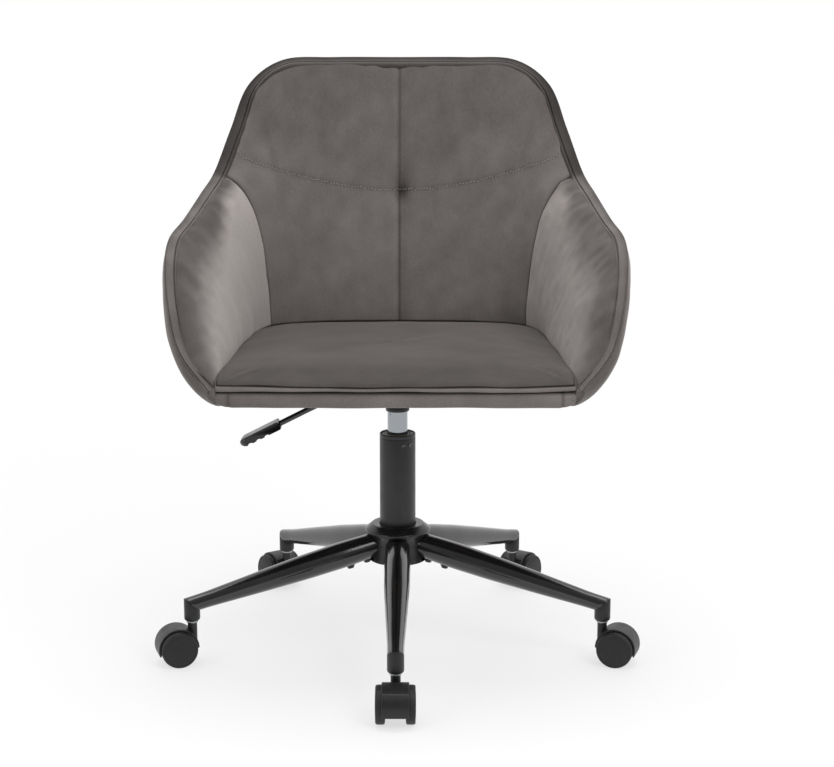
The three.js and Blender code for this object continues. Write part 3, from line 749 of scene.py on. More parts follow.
def arm_shape(side, columns, levels):
    """The face of an arm lining, with puckers gathered along its border."""
    ends = (SIDE_SEAM + 0.02, TUB_END) if side > 0 else (-TUB_END, -SIDE_SEAM - 0.02)
    rows = np.linspace(*ends, columns)
    heights = np.linspace(0.0, 0.995, levels)
    points = grid_of(lining_face, rows, heights)
    normal = grid_normals(points)
    seam, top, low, _ = arm_gaps(side, points)
    lift = 4.0 * (1 - np.exp(-seam / 25)) * (1 - np.exp(-top / 22)) * (1 - np.exp(-low / 30))
    lift -= 2.2 * np.exp(-seam / 3.5) + 1.6 * np.exp(-top / 3.0) + 0.8 * np.exp(-low / 8)
    gather = np.exp(-((top - 22) / 22)**2) * np.exp(-seam / 150)
    lift += 2.6 * gather * waves(points * [1.0, 1.0, 0.35], 26, 11 + side)
    lift += 0.9 * waves(points, 70, 21 + side) + 0.3 * waves(points, 24, 31 + side)
    return points + normal * lift[..., None], normal, points


class CHAIR_OT_back_lining(bpy.types.Operator):
    """Make the back lining with its seams, tuft and stitches"""

    bl_idname = "chair.back_lining"
    bl_label = "Back Lining"

    def execute(self, context):
        front, normal, plain = back_shape(261, 191)
        piece = slab("back_lining", front, plain - normal * 9)
        keep_pile_and_painted_light(piece, back_painted_light_and_shade(front))
        finished(piece, "seat", FINISHES["velvet"], "velvet_grey", "back_cushion")
        self.stitches(front, normal, context.scene.chair_sizes.stitch / MM)
        return {"FINISHED"}

    def stitches(self, front, normal, pitch):
        """Short slanted stitches that lie along the smile-shaped seam.

        Real thread is about 0.4 mm thick; it is drawn at 1.1 mm so that it shows.
        """
        flat, out = front.reshape(-1, 3), normal.reshape(-1, 3)
        clear_selection()
        bpy.ops.mesh.primitive_uv_sphere_add(segments=8, ring_count=5, radius=1)
        bead = bpy.context.object
        shapes = []
        reach = 243.0
        x = -reach
        while x <= reach:
            z = seam_height(np.array(x)).item()
            near = np.argmin((flat[:, 0] - x)**2 + (flat[:, 2] - z)**2)
            at = Vector(flat[near].tolist()) + Vector(out[near].tolist()) * 0.45
            slope = math.atan2(seam_height(np.array(x + 1)).item() - z, 1)
            turn = Matrix.Rotation(-slope - math.radians(18), 4, "Y")
            size = Matrix.Diagonal((1.6, 0.55, 0.6, 1))
            shapes.append(Matrix.Translation(at * MM) @ turn @ size @ Matrix.Scale(MM, 4))
            x += pitch * math.cos(slope)
        joined(bead, "back_stitches", shapes)
        finished(bpy.data.objects["back_stitches"], "seat", FINISHES["thread"], "velvet_grey")


def joined(model, name, matrices):
    """Copies a small model to every place and joins the copies as one piece."""
    clear_selection()
    for matrix in matrices:
        twin = copy_at(model, name + "_part", matrix)
        twin.select_set(True)
        bpy.context.view_layer.objects.active = twin
    discard(model)
    bpy.ops.object.join()
    piece = bpy.context.object
    piece.name = piece.data.name = name
    piece.data.shade_smooth()
    return piece


class CHAIR_OT_arm_linings(bpy.types.Operator):
    """Make the two arm linings"""

    bl_idname = "chair.arm_linings"
    bl_label = "Arm Linings"

    def execute(self, context):
        for side, name in ((1, "right"), (-1, "left")):
            front, normal, plain = arm_shape(side, 141, 96)
            piece = slab(f"arm_lining_{name}", front, plain - normal * 2.4)
            gaps = arm_gaps(side, plain)
            keep_pile_and_painted_light(piece, self.pile_and_painted_light(side, front, gaps))
            held = np.exp(-np.minimum.reduce(gaps) / 7)
            settle(piece, np.concatenate([held.ravel(), np.ones(held.size)]), 3.0, 3.0)
            finished(piece, "seat", FINISHES["velvet"], "velvet_grey", f"arm_pad_{name}")
        return {"FINISHED"}

    def pile_and_painted_light(self, side, front, gaps):
        """Painted shade along the border, painted light (a painted sheen) below it that is
        brightest near the side seam, painted shade in the puckers, and random tone.
        """
        seam, top, _, _ = gaps
        reach = 34 + 58 * np.clip((seam - 50) / 120, 0, 1)
        away = np.clip((top - 4) / reach, 0, 1)
        # painted shade along the border, a painted sheen further from it
        shade = -0.27 + 0.08 * side + (1.08 - 0.3 * side) * away**2 * (3 - 2 * away)
        # painted light near the side seam
        shade += 0.16 * np.exp(-seam / 70)
        gather = np.exp(-((top - 24) / 24)**2) * np.exp(-seam / 160)
        # painted shade in the puckers
        shade -= 0.26 * gather * (0.5 + 0.5 * waves(front * [1, 1, 0.35], 26, 11 + side))
        return shade + (0.08 * waves(front, 60, 52) + 0.08 * waves(front, 22, 53))


def floor_outline(points, share, inset):
    """The tub's floor outline from the front right corner round to the front left one."""
    rows = np.linspace(TUB_END, -TUB_END, points)
    edge = tub_at("base", rows) * (1 - share) + tub_at("seat", rows) * share
    return moved(edge, outward(rows), -inset + 0 * rows, 0 * rows)


def seat_outline(columns, front_columns):
    """The seat pad's outline, closed by a slightly bowed front edge."""
    outline = floor_outline(columns, 1.0, -1.2)
    corner = outline[0]
    share = np.linspace(0, 1, front_columns + 2)[1:-1]
    front_y = cad_size("seat_cushion")[0].y
    y = corner[1] - np.sin(math.pi * share)**0.6 * (corner[1] - front_y)
    front = np.stack([corner[0] * (2 * share - 1), y, 0 * share + corner[2]], axis=-1)
    return np.vstack([outline, front])


class CHAIR_OT_seat_pad(bpy.types.Operator):
    """Make the crowned seat pad with its stitched front lip"""

    bl_idname = "chair.seat_pad"
    bl_label = "Seat Pad"

    def execute(self, context):
        low, high = cad_size("seat_cushion")
        outline = seat_outline(170, 100)
        middle = np.array([0.0, -20.0])
        frontness = np.clip((-175 - outline[:, 1]) / 62, 0, 1)
        frontness = frontness**2 * (3 - 2 * frontness)
        sag = 1.3 * np.sin(outline[:, 0] / 37) + 0.9 * np.sin(outline[:, 0] / 15 + 1)
        sag -= 2.4 * np.exp(-((outline[:, 0] - 165) / 45)**2)
        edge_z = PAD_EDGE - self.fall(outline[:, 1]) + 0.25 * sag * frontness
        rings = []
        reaches = np.concatenate([np.linspace(1.0, 0.96, 9)[1:], np.linspace(0.95, 0.02, 42)])
        for reach in reaches:
            crown = (high.z - 424) * (1 - reach**3.2) * 0.95
            fall = self.fall(middle[1] + (outline[:, 1] - middle[1]) * reach)
            rings.append((reach, PAD_EDGE - fall + 0.25 * sag * frontness * reach**14 + crown))
        gap = 1.1 + 0.8 * np.sin(outline[:, 0] / 52 + 2.6) + 0.35 * sag
        bottom = low.z + 0.3 + np.maximum(gap, 0) * frontness
        lip = [(0.6, bottom), (0.985, bottom), (0.999, bottom + 0.7), (1.006, bottom + 2.2),
               (1.007, (bottom + edge_z) / 2), (1.005, edge_z - 1.5), (0.9985, edge_z - 0.6),
               (0.9955, edge_z - 1.5)]
        levels = lip + rings
        skin = np.stack([
            np.column_stack([middle + (outline[:, :2] - middle) * reach, z])
            for reach, z in levels], axis=1)
        skin[:, len(lip):, 2] += 0.5 * waves(skin[:, len(lip):], 70, 61)
        piece = closed_skin("seat_pad", skin)
        # painted shade over the whole seat pad, with random tone
        shade = -0.56 + 0.05 * waves(skin, 110, 62) + 0.05 * waves(skin, 40, 63)
        # painted light on the front face of the lip
        shade[:, 1:6] += 0.85 * frontness[:, None]
        # painted shade in the fold along the top of the lip
        shade[:, 6:9] -= 0.4 * frontness[:, None]
        keep_pile_and_painted_light(piece, shade)
        free = np.clip((np.arange(len(levels)) - len(lip)) / 10, 0, 1)
        settle(piece, np.tile(1 - free, (len(outline), 1)), 4.0, 4.0)
        finished(piece, "seat", FINISHES["velvet"], "velvet_grey", "seat_cushion")
        return {"FINISHED"}

    def fall(self, y):
        """How far the top of the pad drops towards its front edge."""
        behind = np.maximum(y - PAD_FRONT, 0)
        slope = np.clip(1 - behind / 62, 0, 1)
        return 10.5 * (0.6 * np.exp(-behind / 13) + 0.4 * slope**2 * (3 - 2 * slope))


def closed_skin(name, skin):
    """A closed body from rings of points, capped at its first and last ring."""
    columns, levels = skin.shape[:2]
    vertices = skin.reshape(-1, 3)
    faces = []
    for i in range(columns):
        a, b = i * levels, ((i + 1) % columns) * levels
        for j in range(levels - 1):
            faces.append((a + j, b + j, b + j + 1, a + j + 1))
    faces.append([i * levels for i in range(columns)][::-1])
    faces.append([i * levels + levels - 1 for i in range(columns)])
    return new_mesh(name, vertices, faces)


class CHAIR_OT_front_roll(bpy.types.Operator):
    """Make the padded rail under the seat pad, with a seam near each end"""

    bl_idname = "chair.front_roll"
    bl_label = "Front Roll"

    def execute(self, context):
        low, high = cad_size("front_rail")
        half = high.x + 30
        across = np.linspace(-half, half, 260)
        around = np.linspace(0, 2 * math.pi, 41)[:-1]
        middle_y, middle_z = (low.y + high.y) / 2, (low.z + high.z) / 2
        depth, height = (high.y - low.y) / 2 + 1.5, (high.z - low.z) / 2 + 0.3
        cosine, sine = np.cos(around), np.sin(around)
        skin = []
        for x in across:
            bend = max(0.0, (abs(x) - 204) / (half - 204))
            seam = math.exp(-(abs(abs(x) - ROLL_SEAM) / 1.2))
            swell = 1 - 0.06 * seam - 0.25 * max(0, bend - 0.9) / 0.1
            sway = 0.6 * math.sin(x / 37) + 0.4 * math.sin(x / 15 + 2)
            y = middle_y + depth * swell * np.sign(cosine) * np.abs(cosine)**0.6
            z = middle_z + height * swell * np.sign(sine) * np.abs(sine)**0.6
            z = z + np.where(sine < 0, 0.5 * sway + 8.5 * bend**2, 0.0)
            skin.append(np.column_stack([np.full(len(around), x), y + 4 * bend**4, z]))
        skin = np.stack(skin, axis=1)
        piece = closed_skin("front_roll", skin)
        # a little lighter overall, painted shade in the two seams, and random tone
        seam = np.exp(-np.abs(np.abs(skin[..., 0]) - ROLL_SEAM) / 1.3)
        keep_pile_and_painted_light(piece, 0.16 + 0.09 * waves(skin, 60, 71) - 0.6 * seam)
        finished(piece, "seat", FINISHES["velvet"], "velvet_grey", "front_rail")
        return {"FINISHED"}


class CHAIR_OT_border(bpy.types.Operator):
    """Make the flat border round the rim, piped along both edges"""

    bl_idname = "chair.border"
    bl_label = "Border"

    def execute(self, context):
        piping = context.scene.chair_sizes.piping / MM
        rows = np.linspace(-TUB_END, TUB_END, 420)
        lip, rim = lip_at(rows), tub_at("rim", rows)
        depth = 0.95 * np.clip((TUB_END - np.abs(rows)) / 0.5, 0.0, 1.0)**0.6
        under_in, under_out = lining_face(rows, depth), cover_face(rows, depth)
        along = np.gradient(rim, axis=0)
        across = rim - lip
        width = np.linalg.norm(across, axis=-1, keepdims=True)
        across = across / width
        up = np.cross(across, along)
        up /= np.linalg.norm(up, axis=-1, keepdims=True)
        turns = np.linspace(math.pi * 1.15, 0.1 * math.pi, 9)
        pipe = [(math.cos(a) * piping, math.sin(a) * piping + 0.2) for a in turns]
        profile = [lip + across * level + up * rise for level, rise in pipe]
        for share in np.linspace(0, 1, 15)[1:-1]:
            near = min(share, 1 - share)
            rise = 1.2 * math.sin(math.pi * share) - 1.6 * math.exp(-near * 16)
            profile.append(lip + across * width * share + up * rise)
        profile += [rim + across * level + up * rise for level, rise in pipe]
        profile += [rim * 0.3 + under_out * 0.7, (under_in + under_out) / 2,
                    lip * 0.3 + under_in * 0.7]
        skin = np.stack(profile[::-1], axis=0)
        ends = along / np.linalg.norm(along, axis=-1, keepdims=True)
        caps = []
        for index, turn in ((0, -1), (-1, 1)):
            edge = skin[:, index]
            middle = edge.mean(axis=0)
            caps.append([middle + (edge - middle) * scale + ends[index] * turn * reach
                         for reach, scale in ((1.2, 0.97), (2.2, 0.85), (2.6, 0.55))])
        skin = np.stack([*caps[0][::-1], *np.moveaxis(skin, 1, 0), *caps[1]], axis=1)
        piece = closed_skin("border", skin)
        rows = np.concatenate([[-TUB_END] * 3, rows, [TUB_END] * 3])
        arms = np.clip((np.abs(rows) - SIDE_SEAM) / 0.15, 0, 1)
        # painted shade on the border over the back, with random tone; over the arms it stays near
        # the plain velvet colour
        shade = np.tile(arms * 0.72 - 0.66, (len(profile), 1)) + 0.06 * waves(skin, 50, 81)
        keep_pile_and_painted_light(piece, shade)
        finished(piece, "seat", FINISHES["velvet"], "velvet_grey", "edge_band")
        return {"FINISHED"}


class CHAIR_OT_cover(bpy.types.Operator):
    """Make the padded outer cover with a seam at each side and down the back"""

    bl_idname = "chair.cover"
    bl_label = "Outer Cover"

    def execute(self, context):
        rows = np.linspace(TUB_END, -TUB_END, 420)
        heights = np.linspace(0.0, 0.985, 90)
        points = grid_of(cover_face, rows, heights)
        normal = grid_normals(points)
        along = distance_from_start(points, 0)
        side = np.minimum.reduce([
            np.abs(along - along[np.argmin(np.abs(rows - seam))])
            for seam in (SIDE_SEAM, -SIDE_SEAM, 0.0)])
        top = distance_from_end(points, 1)
        lift = 1.5 * (1 - np.exp(-top / 12)) - 1.4 * np.exp(-side / 2.2) - 1.4 * np.exp(-top / 3)
        lift += 0.5 * waves(points, 90, 91) + 0.2 * waves(points, 25, 92)
        to_corner = TUB_END - np.abs(rows)[:, None]
        lift = lift * np.clip(to_corner / 0.8, 0.2, 1) + 1.4 * np.exp(-to_corner / 0.6)
        tuck = 5.5 * np.exp(-to_corner / 0.35) * (1 - heights)
        points = points + np.stack([0 * tuck, 0 * tuck, tuck], axis=-1)
        front = points + normal * lift[..., None]
        piece = slab("outer_cover_velvet", front, points - normal * 2.6)
        keep_pile_and_painted_light(piece, 0.05 + 0.1 * waves(front, 120, 93))
        finished(piece, "seat", FINISHES["velvet"], "velvet_grey", "outer_cover")
        return {"FINISHED"}


class CHAIR_OT_underside(bpy.types.Operator):
    """Make the dust cloth under the seat, stapled round its opening"""

    bl_idname = "chair.underside"
    bl_label = "Dust Cloth"

    def execute(self, context):
        low = cad_size("dust_cover")[0]
        outline = floor_outline(120, 0.0, 2.6)
        share = np.linspace(0, 1, 42)[1:-1]
        front = np.stack([outline[0, 0] * (2 * share - 1), 0 * share + low.y, 0 * share], axis=-1)
        outline = np.vstack([outline[outline[:, 1] > low.y + 1], front])
        angle = np.arctan2(outline[:, 1], outline[:, 0])
        half = (113.0, 88.0)
        scale = np.minimum(half[0] / np.maximum(np.abs(np.cos(angle)), 1e-6),
                           half[1] / np.maximum(np.abs(np.sin(angle)), 1e-6))
        hole = np.stack([np.cos(angle) * scale, np.sin(angle) * scale], axis=-1)
        rings = []
        for reach in np.linspace(0, 1, 14):
            flat = hole * (1 - reach) + outline[:, :2] * reach
            sag = 1.1 * math.sin(math.pi * reach)
            rings.append(np.column_stack([flat, np.full(len(flat), low.z + 0.9 - sag)]))
        face = np.stack(rings, axis=1)
        face[..., 2] += 0.3 * waves(face, 60, 95) * np.sin(np.linspace(0, math.pi, 14))
        piece = slab("dust_cloth", face + [0, 0, 0.7], face, closed=True)
        finished(piece, "seat", FINISHES["felt"], "felt_black", "dust_cover")
        return {"FINISHED"}


# ---- Base ----


class CHAIR_OT_hub(bpy.types.Operator):
    """Make the hub with its five arched pockets"""

    bl_idname = "chair.hub"
    bl_label = "Hub"

    def execute(self, context):
        low, high = cad_size("base_hub")
        bore = 25.4
        hub = ring("hub", [
            (bore, low.z), (39.9, low.z), (40.5, low.z + 0.7), (39.2, 128), (38.1, 136),
            (38, 145), (38.6, 150), (40.6, 155), (43.6, 159), (45.2, 160.4), (46, 161.8),
            (46, 164.2), (45.4, 165.4), (37.2, high.z - 0.8), (36, high.z), (26.2, high.z),
            (bore, high.z - 0.8)], 96)
        for index in range(LEG_COUNT):
            cone = turned("pocket", [(0, -0.3), (16.9, -0.3), (18.9, 55), (0, 55)], 64)
            carve(hub, place(cone, leg_turn(index) @ along_leg()))
        soften(hub, 0.6)
        finished(hub, "base", FINISHES["grip"], "nylon_black", "base_hub")
        return {"FINISHED"}


class CHAIR_OT_legs(bpy.types.Operator):
    """Make the five tapered legs, their mitred end sockets and their bolts"""

    bl_idname = "chair.legs"
    bl_label = "Legs"

    def execute(self, context):
        leg = self.leg()
        socket = self.socket()
        bolt = self.bolt()
        for index in range(LEG_COUNT):
            turn = leg_turn(index)
            number = index + 1
            tube = copy_at(leg, f"leg_tube_{number}", turn)
            finished(tube, "base", FINISHES["enamel"], "enamel_black", f"leg_{number}")
            barrel = copy_at(socket, f"leg_barrel_{number}", turn)
            finished(barrel, "base", FINISHES["nylon"], "nylon_black", f"leg_socket_{number}")
            # the outer bolt sits a little lower, where the tube is thicker
            for which, (along, swell) in enumerate(((20, 0.0), (45, 0.9))):
                spot = turn @ along_leg() @ shift(swell, 0, along)
                head = copy_at(bolt, f"leg_bolt_{number}_{which + 1}", spot)
                finished(head, "base", FINISHES["coat"], "steel_dark")
        for model in (leg, socket, bolt):
            discard(model)
        return {"FINISHED"}

    def leg(self):
        """A tube that swells past the hub and tapers to a mitred tip."""
        stations = [(0, 16.5), (30, 17.7), (55, 18.4), (110, 17.5), (180, 14.6),
                    (LEG_LENGTH - 20, 11), (LEG_LENGTH + 18, 11)]
        along = np.linspace(0, LEG_LENGTH + 18, 40)
        radius = np.interp(along, *zip(*stations))
        radius[1:-1] = (radius[:-2] + 2 * radius[1:-1] + radius[2:]) / 4
        profile = [(0, 0), *zip(radius.tolist(), along.tolist()), (0, LEG_LENGTH + 18)]
        tube = place(turned("leg", profile, 64), along_leg())
        normal = Vector((math.cos(MITRE_TILT), 0, -math.sin(MITRE_TILT)))
        corner = Vector((STEM_CIRCLE, 0, LEG_TIP_Z)) * MM
        return soften(sliced(tube, corner - normal * 0.1 * MM, normal), 0.5, 2)

    def socket(self):
        """A barrel that holds a caster's stem, cut to meet the leg's mitred tip."""
        low = cad_size("leg_socket_1")[0].z
        barrel = turned("socket", [(0, low + 15), (5.8, low + 15), (5.8, low + 0.6), (6.4, low),
                                   (9.2, low), (10.4, low + 0.9), (11, low + 2.6), (11, 100),
                                   (0, 100)], 64)
        place(barrel, shift(STEM_CIRCLE, 0, 0))
        normal = Vector((-math.cos(MITRE_TILT), 0, math.sin(MITRE_TILT)))
        corner = Vector((STEM_CIRCLE, 0, LEG_TIP_Z)) * MM
        return soften(sliced(barrel, corner - normal * 0.1 * MM, normal), 0.5, 2)

    def bolt(self):
        """A hexagon head and washer on the underside of a leg tube."""
        washer = turned("washer", [(0, 15), (6.4, 15), (6.4, 18.2), (0, 18.2)], 40)
        head = rod("head", 5, 18, 21.2, 6)
        carve(washer, head, "UNION")
        soften(washer, 0.4, 2)
        return place(washer, Matrix.Rotation(math.pi / 2, 4, "Y"))


class CHAIR_OT_column(bpy.types.Operator):
    """Make the column: tube, bush, chrome cylinder and the collar that it fits"""

    bl_idname = "chair.column"
    bl_label = "Column"

    def execute(self, context):
        low, high = cad_size("column_tube")
        tube = ring("column_tube_coated", [
            (5.3, low.z), (24.4, low.z), (TUBE_RADIUS, low.z + 0.6), (TUBE_RADIUS, high.z - 6.4),
            (24.6, high.z - 6.1), (24.6, high.z - 5.5), (TUBE_RADIUS, high.z - 5.2),
            (TUBE_RADIUS, high.z - 0.9), (24.4, high.z - 0.1), (23.6, high.z),
            (23, high.z - 0.6), (23, low.z + 3), (5.3, low.z + 3)], 96)
        soften(tube, 0.25, 2)
        finished(tube, "base", FINISHES["coat"], "steel_dark", "column_tube")
        self.crimps(high.z - 14.5)
        bush_low, bush_high = cad_size("guide_bush")
        bush = ring("guide_bush_moulded", [
            (14.3, bush_low.z), (22.6, bush_low.z), (22.6, bush_high.z - 1), (21.6, bush_high.z),
            (19, bush_high.z), (18.4, bush_high.z - 1.6), (16.4, bush_high.z - 1.6),
            (15.9, bush_high.z), (14.9, bush_high.z), (14.3, bush_high.z - 0.8)])
        soften(bush, 0.2, 2)
        finished(bush, "base", FINISHES["bush"], "nylon_natural", "guide_bush")
        self.cylinder()
        self.mechanism()
        return {"FINISHED"}

    def crimps(self, height):
        """The two round marks where the tube is pressed into the bush."""
        for number, angle in enumerate((20, 46)):
            mark = turned(f"crimp_{number + 1}", [
                (0, 0.12), (1.5, 0.14), (2.3, 0.3), (2.8, 0.62), (3.3, 0.5), (3.6, -1),
                (0, -1)], 40)
            place(mark, shift(0, -TUBE_RADIUS, height) @ ONTO_Y)
            place(mark, Matrix.Rotation(math.radians(angle), 4, "Z"))
            # the darker, glossier enamel in place of the tube's powder coat is painted shade that
            # makes each mark read as a dimple
            finished(soften(mark, 0.1, 2), "base", FINISHES["enamel"], "steel_dark")

    def cylinder(self):
        """A chrome tube, open below round the piston rod and bored for the valve button."""
        low, high = cad_size("gas_cylinder")
        rod_piece = turned("gas_cylinder_chrome", [
            (0, 340), (11.7, 340), (11.7, low.z + 3), (5.4, low.z + 3), (5.4, low.z),
            (13.4, low.z), (14, low.z + 0.6), (14, 334), (13.4, high.z - 0.4), (13, high.z),
            (3.4, high.z), (3.4, 355), (0, 355)], 96)
        soften(rod_piece, 0.2, 2)
        finished(rod_piece, "seat", FINISHES["chrome"], "chrome", "gas_cylinder")

    def mechanism(self):
        """The seat plate and channel, copied from the frame and softened, with a turned collar."""
        collar = ring("taper_collar", [
            (14.35, 334), (15.9, 334), (16.5, 334.7), (16.5, 338.6), (16.1, 339), (16.1, 339.8),
            (16.5, 340.2), (16.5, 375.4), (13.7, 375.4)], 96)
        soften(collar, 0.25, 2)
        finished(collar, "seat", FINISHES["nylon"], "steel_dark", "seat_mechanism")
        plate = copy_at(NODES["seat_mechanism"], "seat_plate", Matrix.Identity(4))
        pick(plate)
        bpy.ops.object.mode_set(mode="EDIT")
        bpy.ops.mesh.select_all(action="SELECT")
        bpy.ops.mesh.remove_doubles(threshold=DOUBLED)
        bpy.ops.mesh.dissolve_limited(angle_limit=math.radians(2))
        bpy.ops.object.mode_set(mode="OBJECT")
        sliced(plate, (0, 0, 375.6 * MM), (0, 0, -1))
        soften(plate, 0.5, 2)
        finished(plate, "seat", FINISHES["coat"], "steel_dark", "seat_mechanism")


class CHAIR_OT_lever(bpy.types.Operator):
    """Make the height lever: a bent rod with a flat grip"""

    bl_idname = "chair.lever"
    bl_label = "Lever"

    def execute(self, context):
        self.rod()
        self.grip()
        return {"FINISHED"}

    def rod(self):
        bends = [Vector((x, 0, z)) for x, z in ((9, 388.3), (-10, 388.3), (-28, 388.3), (-44, 381))]
        points = bends + [LEVER_KNEE + LEVER_RUN * along for along in (0, 60, 133)]
        clear_selection()
        bpy.ops.curve.primitive_nurbs_path_add()
        piece = bpy.context.object
        curve = piece.data
        curve.splines.clear()
        spline = curve.splines.new("BEZIER")
        spline.bezier_points.add(len(points) - 1)
        for knot, point in zip(spline.bezier_points, points):
            knot.co = point * MM
            knot.handle_left_type = knot.handle_right_type = "AUTO"
        curve.bevel_depth = 3.95 * MM
        curve.bevel_resolution = 8
        curve.use_fill_caps = True
        spline.resolution_u = 12
        bpy.ops.object.convert(target="MESH")
        piece = bpy.context.object
        piece.name = piece.data.name = "lever_bar"
        bpy.ops.object.mode_set(mode="EDIT")
        close_up()
        bpy.ops.object.shade_smooth_by_angle(angle=math.radians(40))
        finished(piece, "lever", FINISHES["enamel"], "steel_dark", "lever_rod")

    def grip(self):
        """A flat paddle, round at its end and lens-shaped from the side, with finger notches."""
        body = block("lever_grip", (0, -12.5, -6), (49.5, 12.5, 6))
        tip = place(rod("tip", 12.5, -6, 6, 64), Matrix.Translation((49.5 * MM, 0, 0)))
        carve(body, tip, "UNION")
        lens = place(rod("lens", 34, -30, 30, 96), ONTO_Y)
        place(lens, Matrix.Translation((28 * MM, 0, 0)) @ Matrix.Diagonal((1, 1, 9.5 / 34, 1)))
        carve(body, lens, "INTERSECT")
        for along in (22, 35, 48):
            notch = place(rod("notch", 5, -20, 20, 48), ONTO_Y)
            carve(body, place(notch, shift(along, 0, -9.2)))
        soften(body, 1.5, 3)
        turn = Matrix.Rotation(math.pi, 4, "Z") @ Matrix.Rotation(LEVER_SLOPE, 4, "Y")
        place(body, shift(*(LEVER_KNEE + LEVER_RUN * GRIP_START)) @ turn)
        finished(body, "lever", FINISHES["grip"], "nylon_black", "lever_paddle")


class CHAIR_OT_casters(bpy.types.Operator):
    """Make the five twin-wheel casters"""

    bl_idname = "chair.casters"
    bl_label = "Casters"

    def execute(self, context):
        stem, hood, wheel = self.stem(), self.hood(), self.wheel()
        flip = Matrix.Rotation(math.pi, 4, "Z")
        axle = shift(TRAIL, 0, WHEEL_RADIUS)
        for index in range(LEG_COUNT):
            number = index + 1
            at = leg_turn(index) @ shift(STEM_CIRCLE, 0, 0)
            body = f"caster_{number}"
            finished(copy_at(stem, f"stem_{number}", at), body, FINISHES["zinc"],
                     "steel_bright", f"caster_{number}_stem")
            finished(copy_at(hood, f"hood_{number}", at), body, FINISHES["nylon"],
                     "nylon_black", f"caster_{number}_hood")
            for side, turn in (("right", Matrix.Identity(4)), ("left", flip)):
                piece = copy_at(wheel, f"wheel_{number}_{side}_moulded", at @ axle @ turn)
                finished(piece, f"wheel_{number}_{side}", FINISHES["wheel"],
                         "wheel_black", f"caster_{number}_wheel_{side}")
        for model in (stem, hood, wheel):
            discard(model)
        return {"FINISHED"}

    def stem(self):
        """A stepped pin with the flange that stops it in the leg's socket."""
        stem = turned("stem", [(0, 40), (3.9, 40), (3.9, 57), (7.6, 57), (8, 57.5), (8, 59.1),
                               (7.6, 59.6), (5.5, 59.6), (5.5, 74), (5, 74.5), (0, 74.5)], 48)
        return soften(stem, 0.2, 2)

    def hood(self):
        """A thin arched shell over both wheels, on a web that holds the axle."""
        on_axle = shift(TRAIL, 0, WHEEL_RADIUS) @ ONTO_Y
        hood = place(turned("hood", [(0, -17.5), (27.2, -17.5), (28, -16.7), (28, 16.7),
                                     (27.2, 17.5), (0, 17.5)], 96), on_axle)
        tilt = math.atan(9 / 56)
        point = Vector((TRAIL, 0, 20.5)) * MM
        hood = sliced(hood, point, (-math.sin(tilt), 0, -math.cos(tilt)))
        carve(hood, place(rod("boss", 7, -12.7, 12.7, 48), on_axle), "UNION")
        carve(hood, rod("neck", 6.5, 30, 56.7, 48), "UNION")
        for side in (-1, 1):
            room = [(0, side * 12.7), (25.7, side * 12.7), (25.7, side * 23), (0, side * 23)]
            carve(hood, place(turned("room", room, 96), on_axle))
        carve(hood, place(rod("axle_hole", 3.3, -20, 20, 32), on_axle))
        carve(hood, rod("stem_hole", 4.2, 38, 60, 32))
        return soften(hood, 0.35, 2)

    def wheel(self):
        """A wheel with a domed cap inside a raised tread edge, on the caster's right side."""
        wheel = turned("wheel", [
            (0, 10), (3.3, 10), (3.3, 0), (20, 0), (23.4, 0.3), (24.7, 1.4), (25, 3), (25, 9.4),
            (24.5, 11.4), (23.2, 12.4), (21.8, 12.3), (21.2, 11.9), (20.6, 12.2), (14, 12.8),
            (0, 13)], 96)
        return soften(place(wheel, ONTO_Y @ shift(0, 0, 13)), 0.2, 2, 50)


class CHAIR_OT_small_parts(bpy.types.Operator):
    """Give the frame's own small parts their finishes"""

    bl_idname = "chair.small_parts"
    bl_label = "Small Parts"

    def execute(self, context):
        looks = {"piston_rod": "chrome", "thrust_bearing": "zinc", "valve_button": "zinc",
                 "pivot_pin": "zinc", "seat_board": "plywood", "shell_frame": "plywood"}
        looks.update({f"seat_bolt_{i}": "zinc" for i in range(1, 5)})
        looks.update({f"caster_{i}_axle": "zinc" for i in range(1, 6)})
        for node, finish in looks.items():
            skins = NODES[node].data.materials
            skins.clear()
            skins.append(FINISHES[finish])
        return {"FINISHED"}


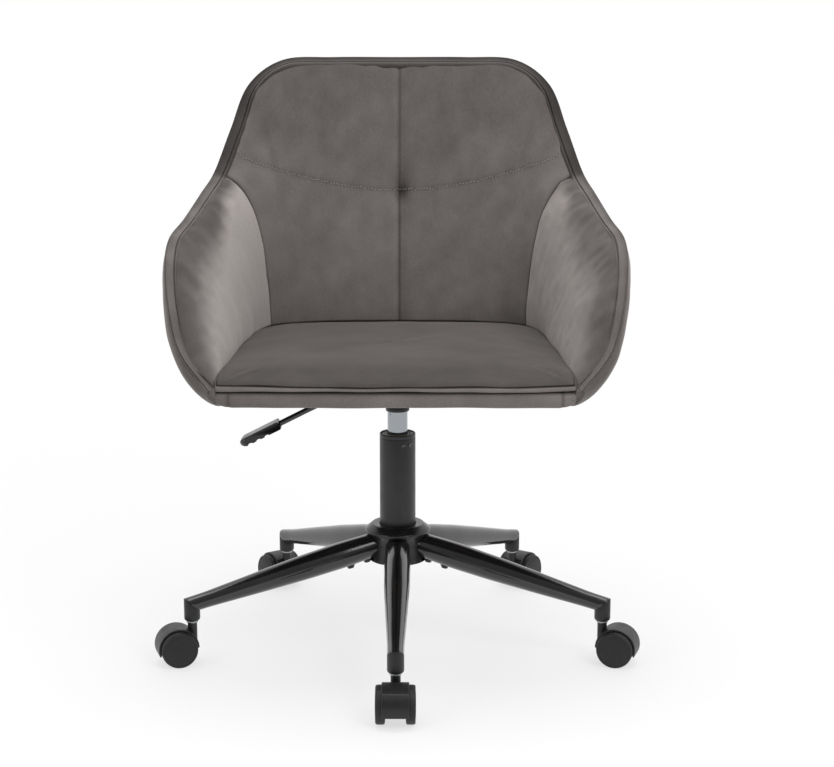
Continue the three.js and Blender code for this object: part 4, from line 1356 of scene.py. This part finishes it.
class CHAIR_OT_stage(bpy.types.Operator):
    """Set up the floor, the light and the camera"""

    bl_idname = "chair.stage"
    bl_label = "Stage"

    def execute(self, context):
        self.floor()
        self.lights()
        self.camera(context.scene)
        return {"FINISHED"}

    def floor(self):
        clear_selection()
        bpy.ops.mesh.primitive_plane_add(size=60)
        floor = bpy.context.object
        floor.name = floor.data.name = "floor"
        made, tree, shader, where = new_material("studio_floor")
        connect(tree, shader, {
            "Base Color": linear("#F4F4F5"), "Roughness": 0.6, "Specular IOR Level": 0.2})
        # the paper floor fades into the white behind, from 0.4 m to 1.6 m off the column
        spread = add_node(tree, "ShaderNodeVectorMath", {0: where}, operation="LENGTH")
        far = add_node(tree, "ShaderNodeMapRange", {
            "Value": spread.outputs["Value"], "From Min": 0.4, "From Max": 1.6,
            "To Min": 0.66, "To Max": 1.0})
        glow = add_node(tree, "ShaderNodeEmission", {"Color": (1, 1, 1, 1), "Strength": 1.0})
        mix = add_node(tree, "ShaderNodeMixShader", {
            0: far.outputs["Result"], 1: shader.outputs[0], 2: glow.outputs[0]})
        connect(tree, tree.nodes["Material Output"], {"Surface": mix.outputs[0]})
        floor.data.materials.append(made)

    def lights(self):
        world = bpy.data.worlds.new("studio")
        world.use_nodes = True
        tree = world.node_tree
        toward = add_node(tree, "ShaderNodeTexCoord").outputs["Generated"]
        split = add_node(tree, "ShaderNodeSeparateXYZ", {"Vector": toward})
        # a white room that is dimmer on the side that the chair faces
        white = add_node(tree, "ShaderNodeMapRange", {
            "Value": split.outputs["Y"], "From Min": -0.7, "From Max": 0.25,
            "To Min": 0.3, "To Max": 1.0})
        connect(tree, tree.nodes["Background"], {
            "Color": (1, 1, 1, 1), "Strength": white.outputs["Result"]})
        bpy.context.scene.world = world
        for name, at, size, power in (
            ("key", (1.7, -2.0, 2.5), 1.6, 34),
            ("fill", (-2.1, -1.8, 1.6), 1.4, 13),
            ("top", (0.0, 0.2, 2.8), 1.8, 26),
        ):
            light = bpy.data.lights.new(name, "AREA")
            light.size = size
            light.energy = power
            lamp = bpy.data.objects.new(name, light)
            lamp.location = at
            aim = Vector((0, 0, 0.4)) - Vector(at)
            lamp.rotation_euler = aim.to_track_quat("-Z", "Y").to_euler()
            bpy.context.scene.collection.objects.link(lamp)

    def camera(self, scene):
        camera = bpy.data.objects.new("camera", bpy.data.cameras.new("camera"))
        camera.data.sensor_width = 36
        camera.data.lens = 81.1
        camera.location = (0.0271, -2.5533, 0.8993)
        camera.rotation_euler = (math.pi / 2 - 0.2036, 0, 0)
        scene.collection.objects.link(camera)
        scene.camera = camera
        scene.view_settings.view_transform = "Standard"
        scene.view_settings.look = "None"


class CHAIR_PT_panel(bpy.types.Panel):
    """Lists the chair's pieces"""

    bl_idname = "CHAIR_PT_panel"
    bl_label = "Swivel Tub Chair"
    bl_space_type = "VIEW_3D"
    bl_region_type = "UI"
    bl_category = "Chair"

    def draw(self, context):
        for group in (context.scene.chair_looks, context.scene.chair_sizes):
            for name in group.bl_rna.properties.keys():
                if name not in ("rna_type", "name"):
                    self.layout.prop(group, name)
        for operator in OPERATORS:
            self.layout.operator(operator.bl_idname)


OPERATORS = (
    CHAIR_OT_back_lining, CHAIR_OT_arm_linings, CHAIR_OT_seat_pad, CHAIR_OT_front_roll,
    CHAIR_OT_border, CHAIR_OT_cover, CHAIR_OT_underside, CHAIR_OT_hub, CHAIR_OT_legs,
    CHAIR_OT_column, CHAIR_OT_lever, CHAIR_OT_casters, CHAIR_OT_small_parts, CHAIR_OT_stage,
)
CLASSES = (ChairLooks, ChairSizes, *OPERATORS, CHAIR_PT_panel)


def register():
    for kind in CLASSES:
        bpy.utils.register_class(kind)
    bpy.types.Scene.chair_looks = bpy.props.PointerProperty(type=ChairLooks)
    bpy.types.Scene.chair_sizes = bpy.props.PointerProperty(type=ChairSizes)


def unregister():
    del bpy.types.Scene.chair_looks
    del bpy.types.Scene.chair_sizes
    for kind in reversed(CLASSES):
        bpy.utils.unregister_class(kind)


def main():
    register()
    make_finishes(bpy.context.scene.chair_looks)
    for operator in OPERATORS:
        group, name = operator.bl_idname.split(".")
        getattr(getattr(bpy.ops, group), name)()


if __name__ == "__main__":
    main()
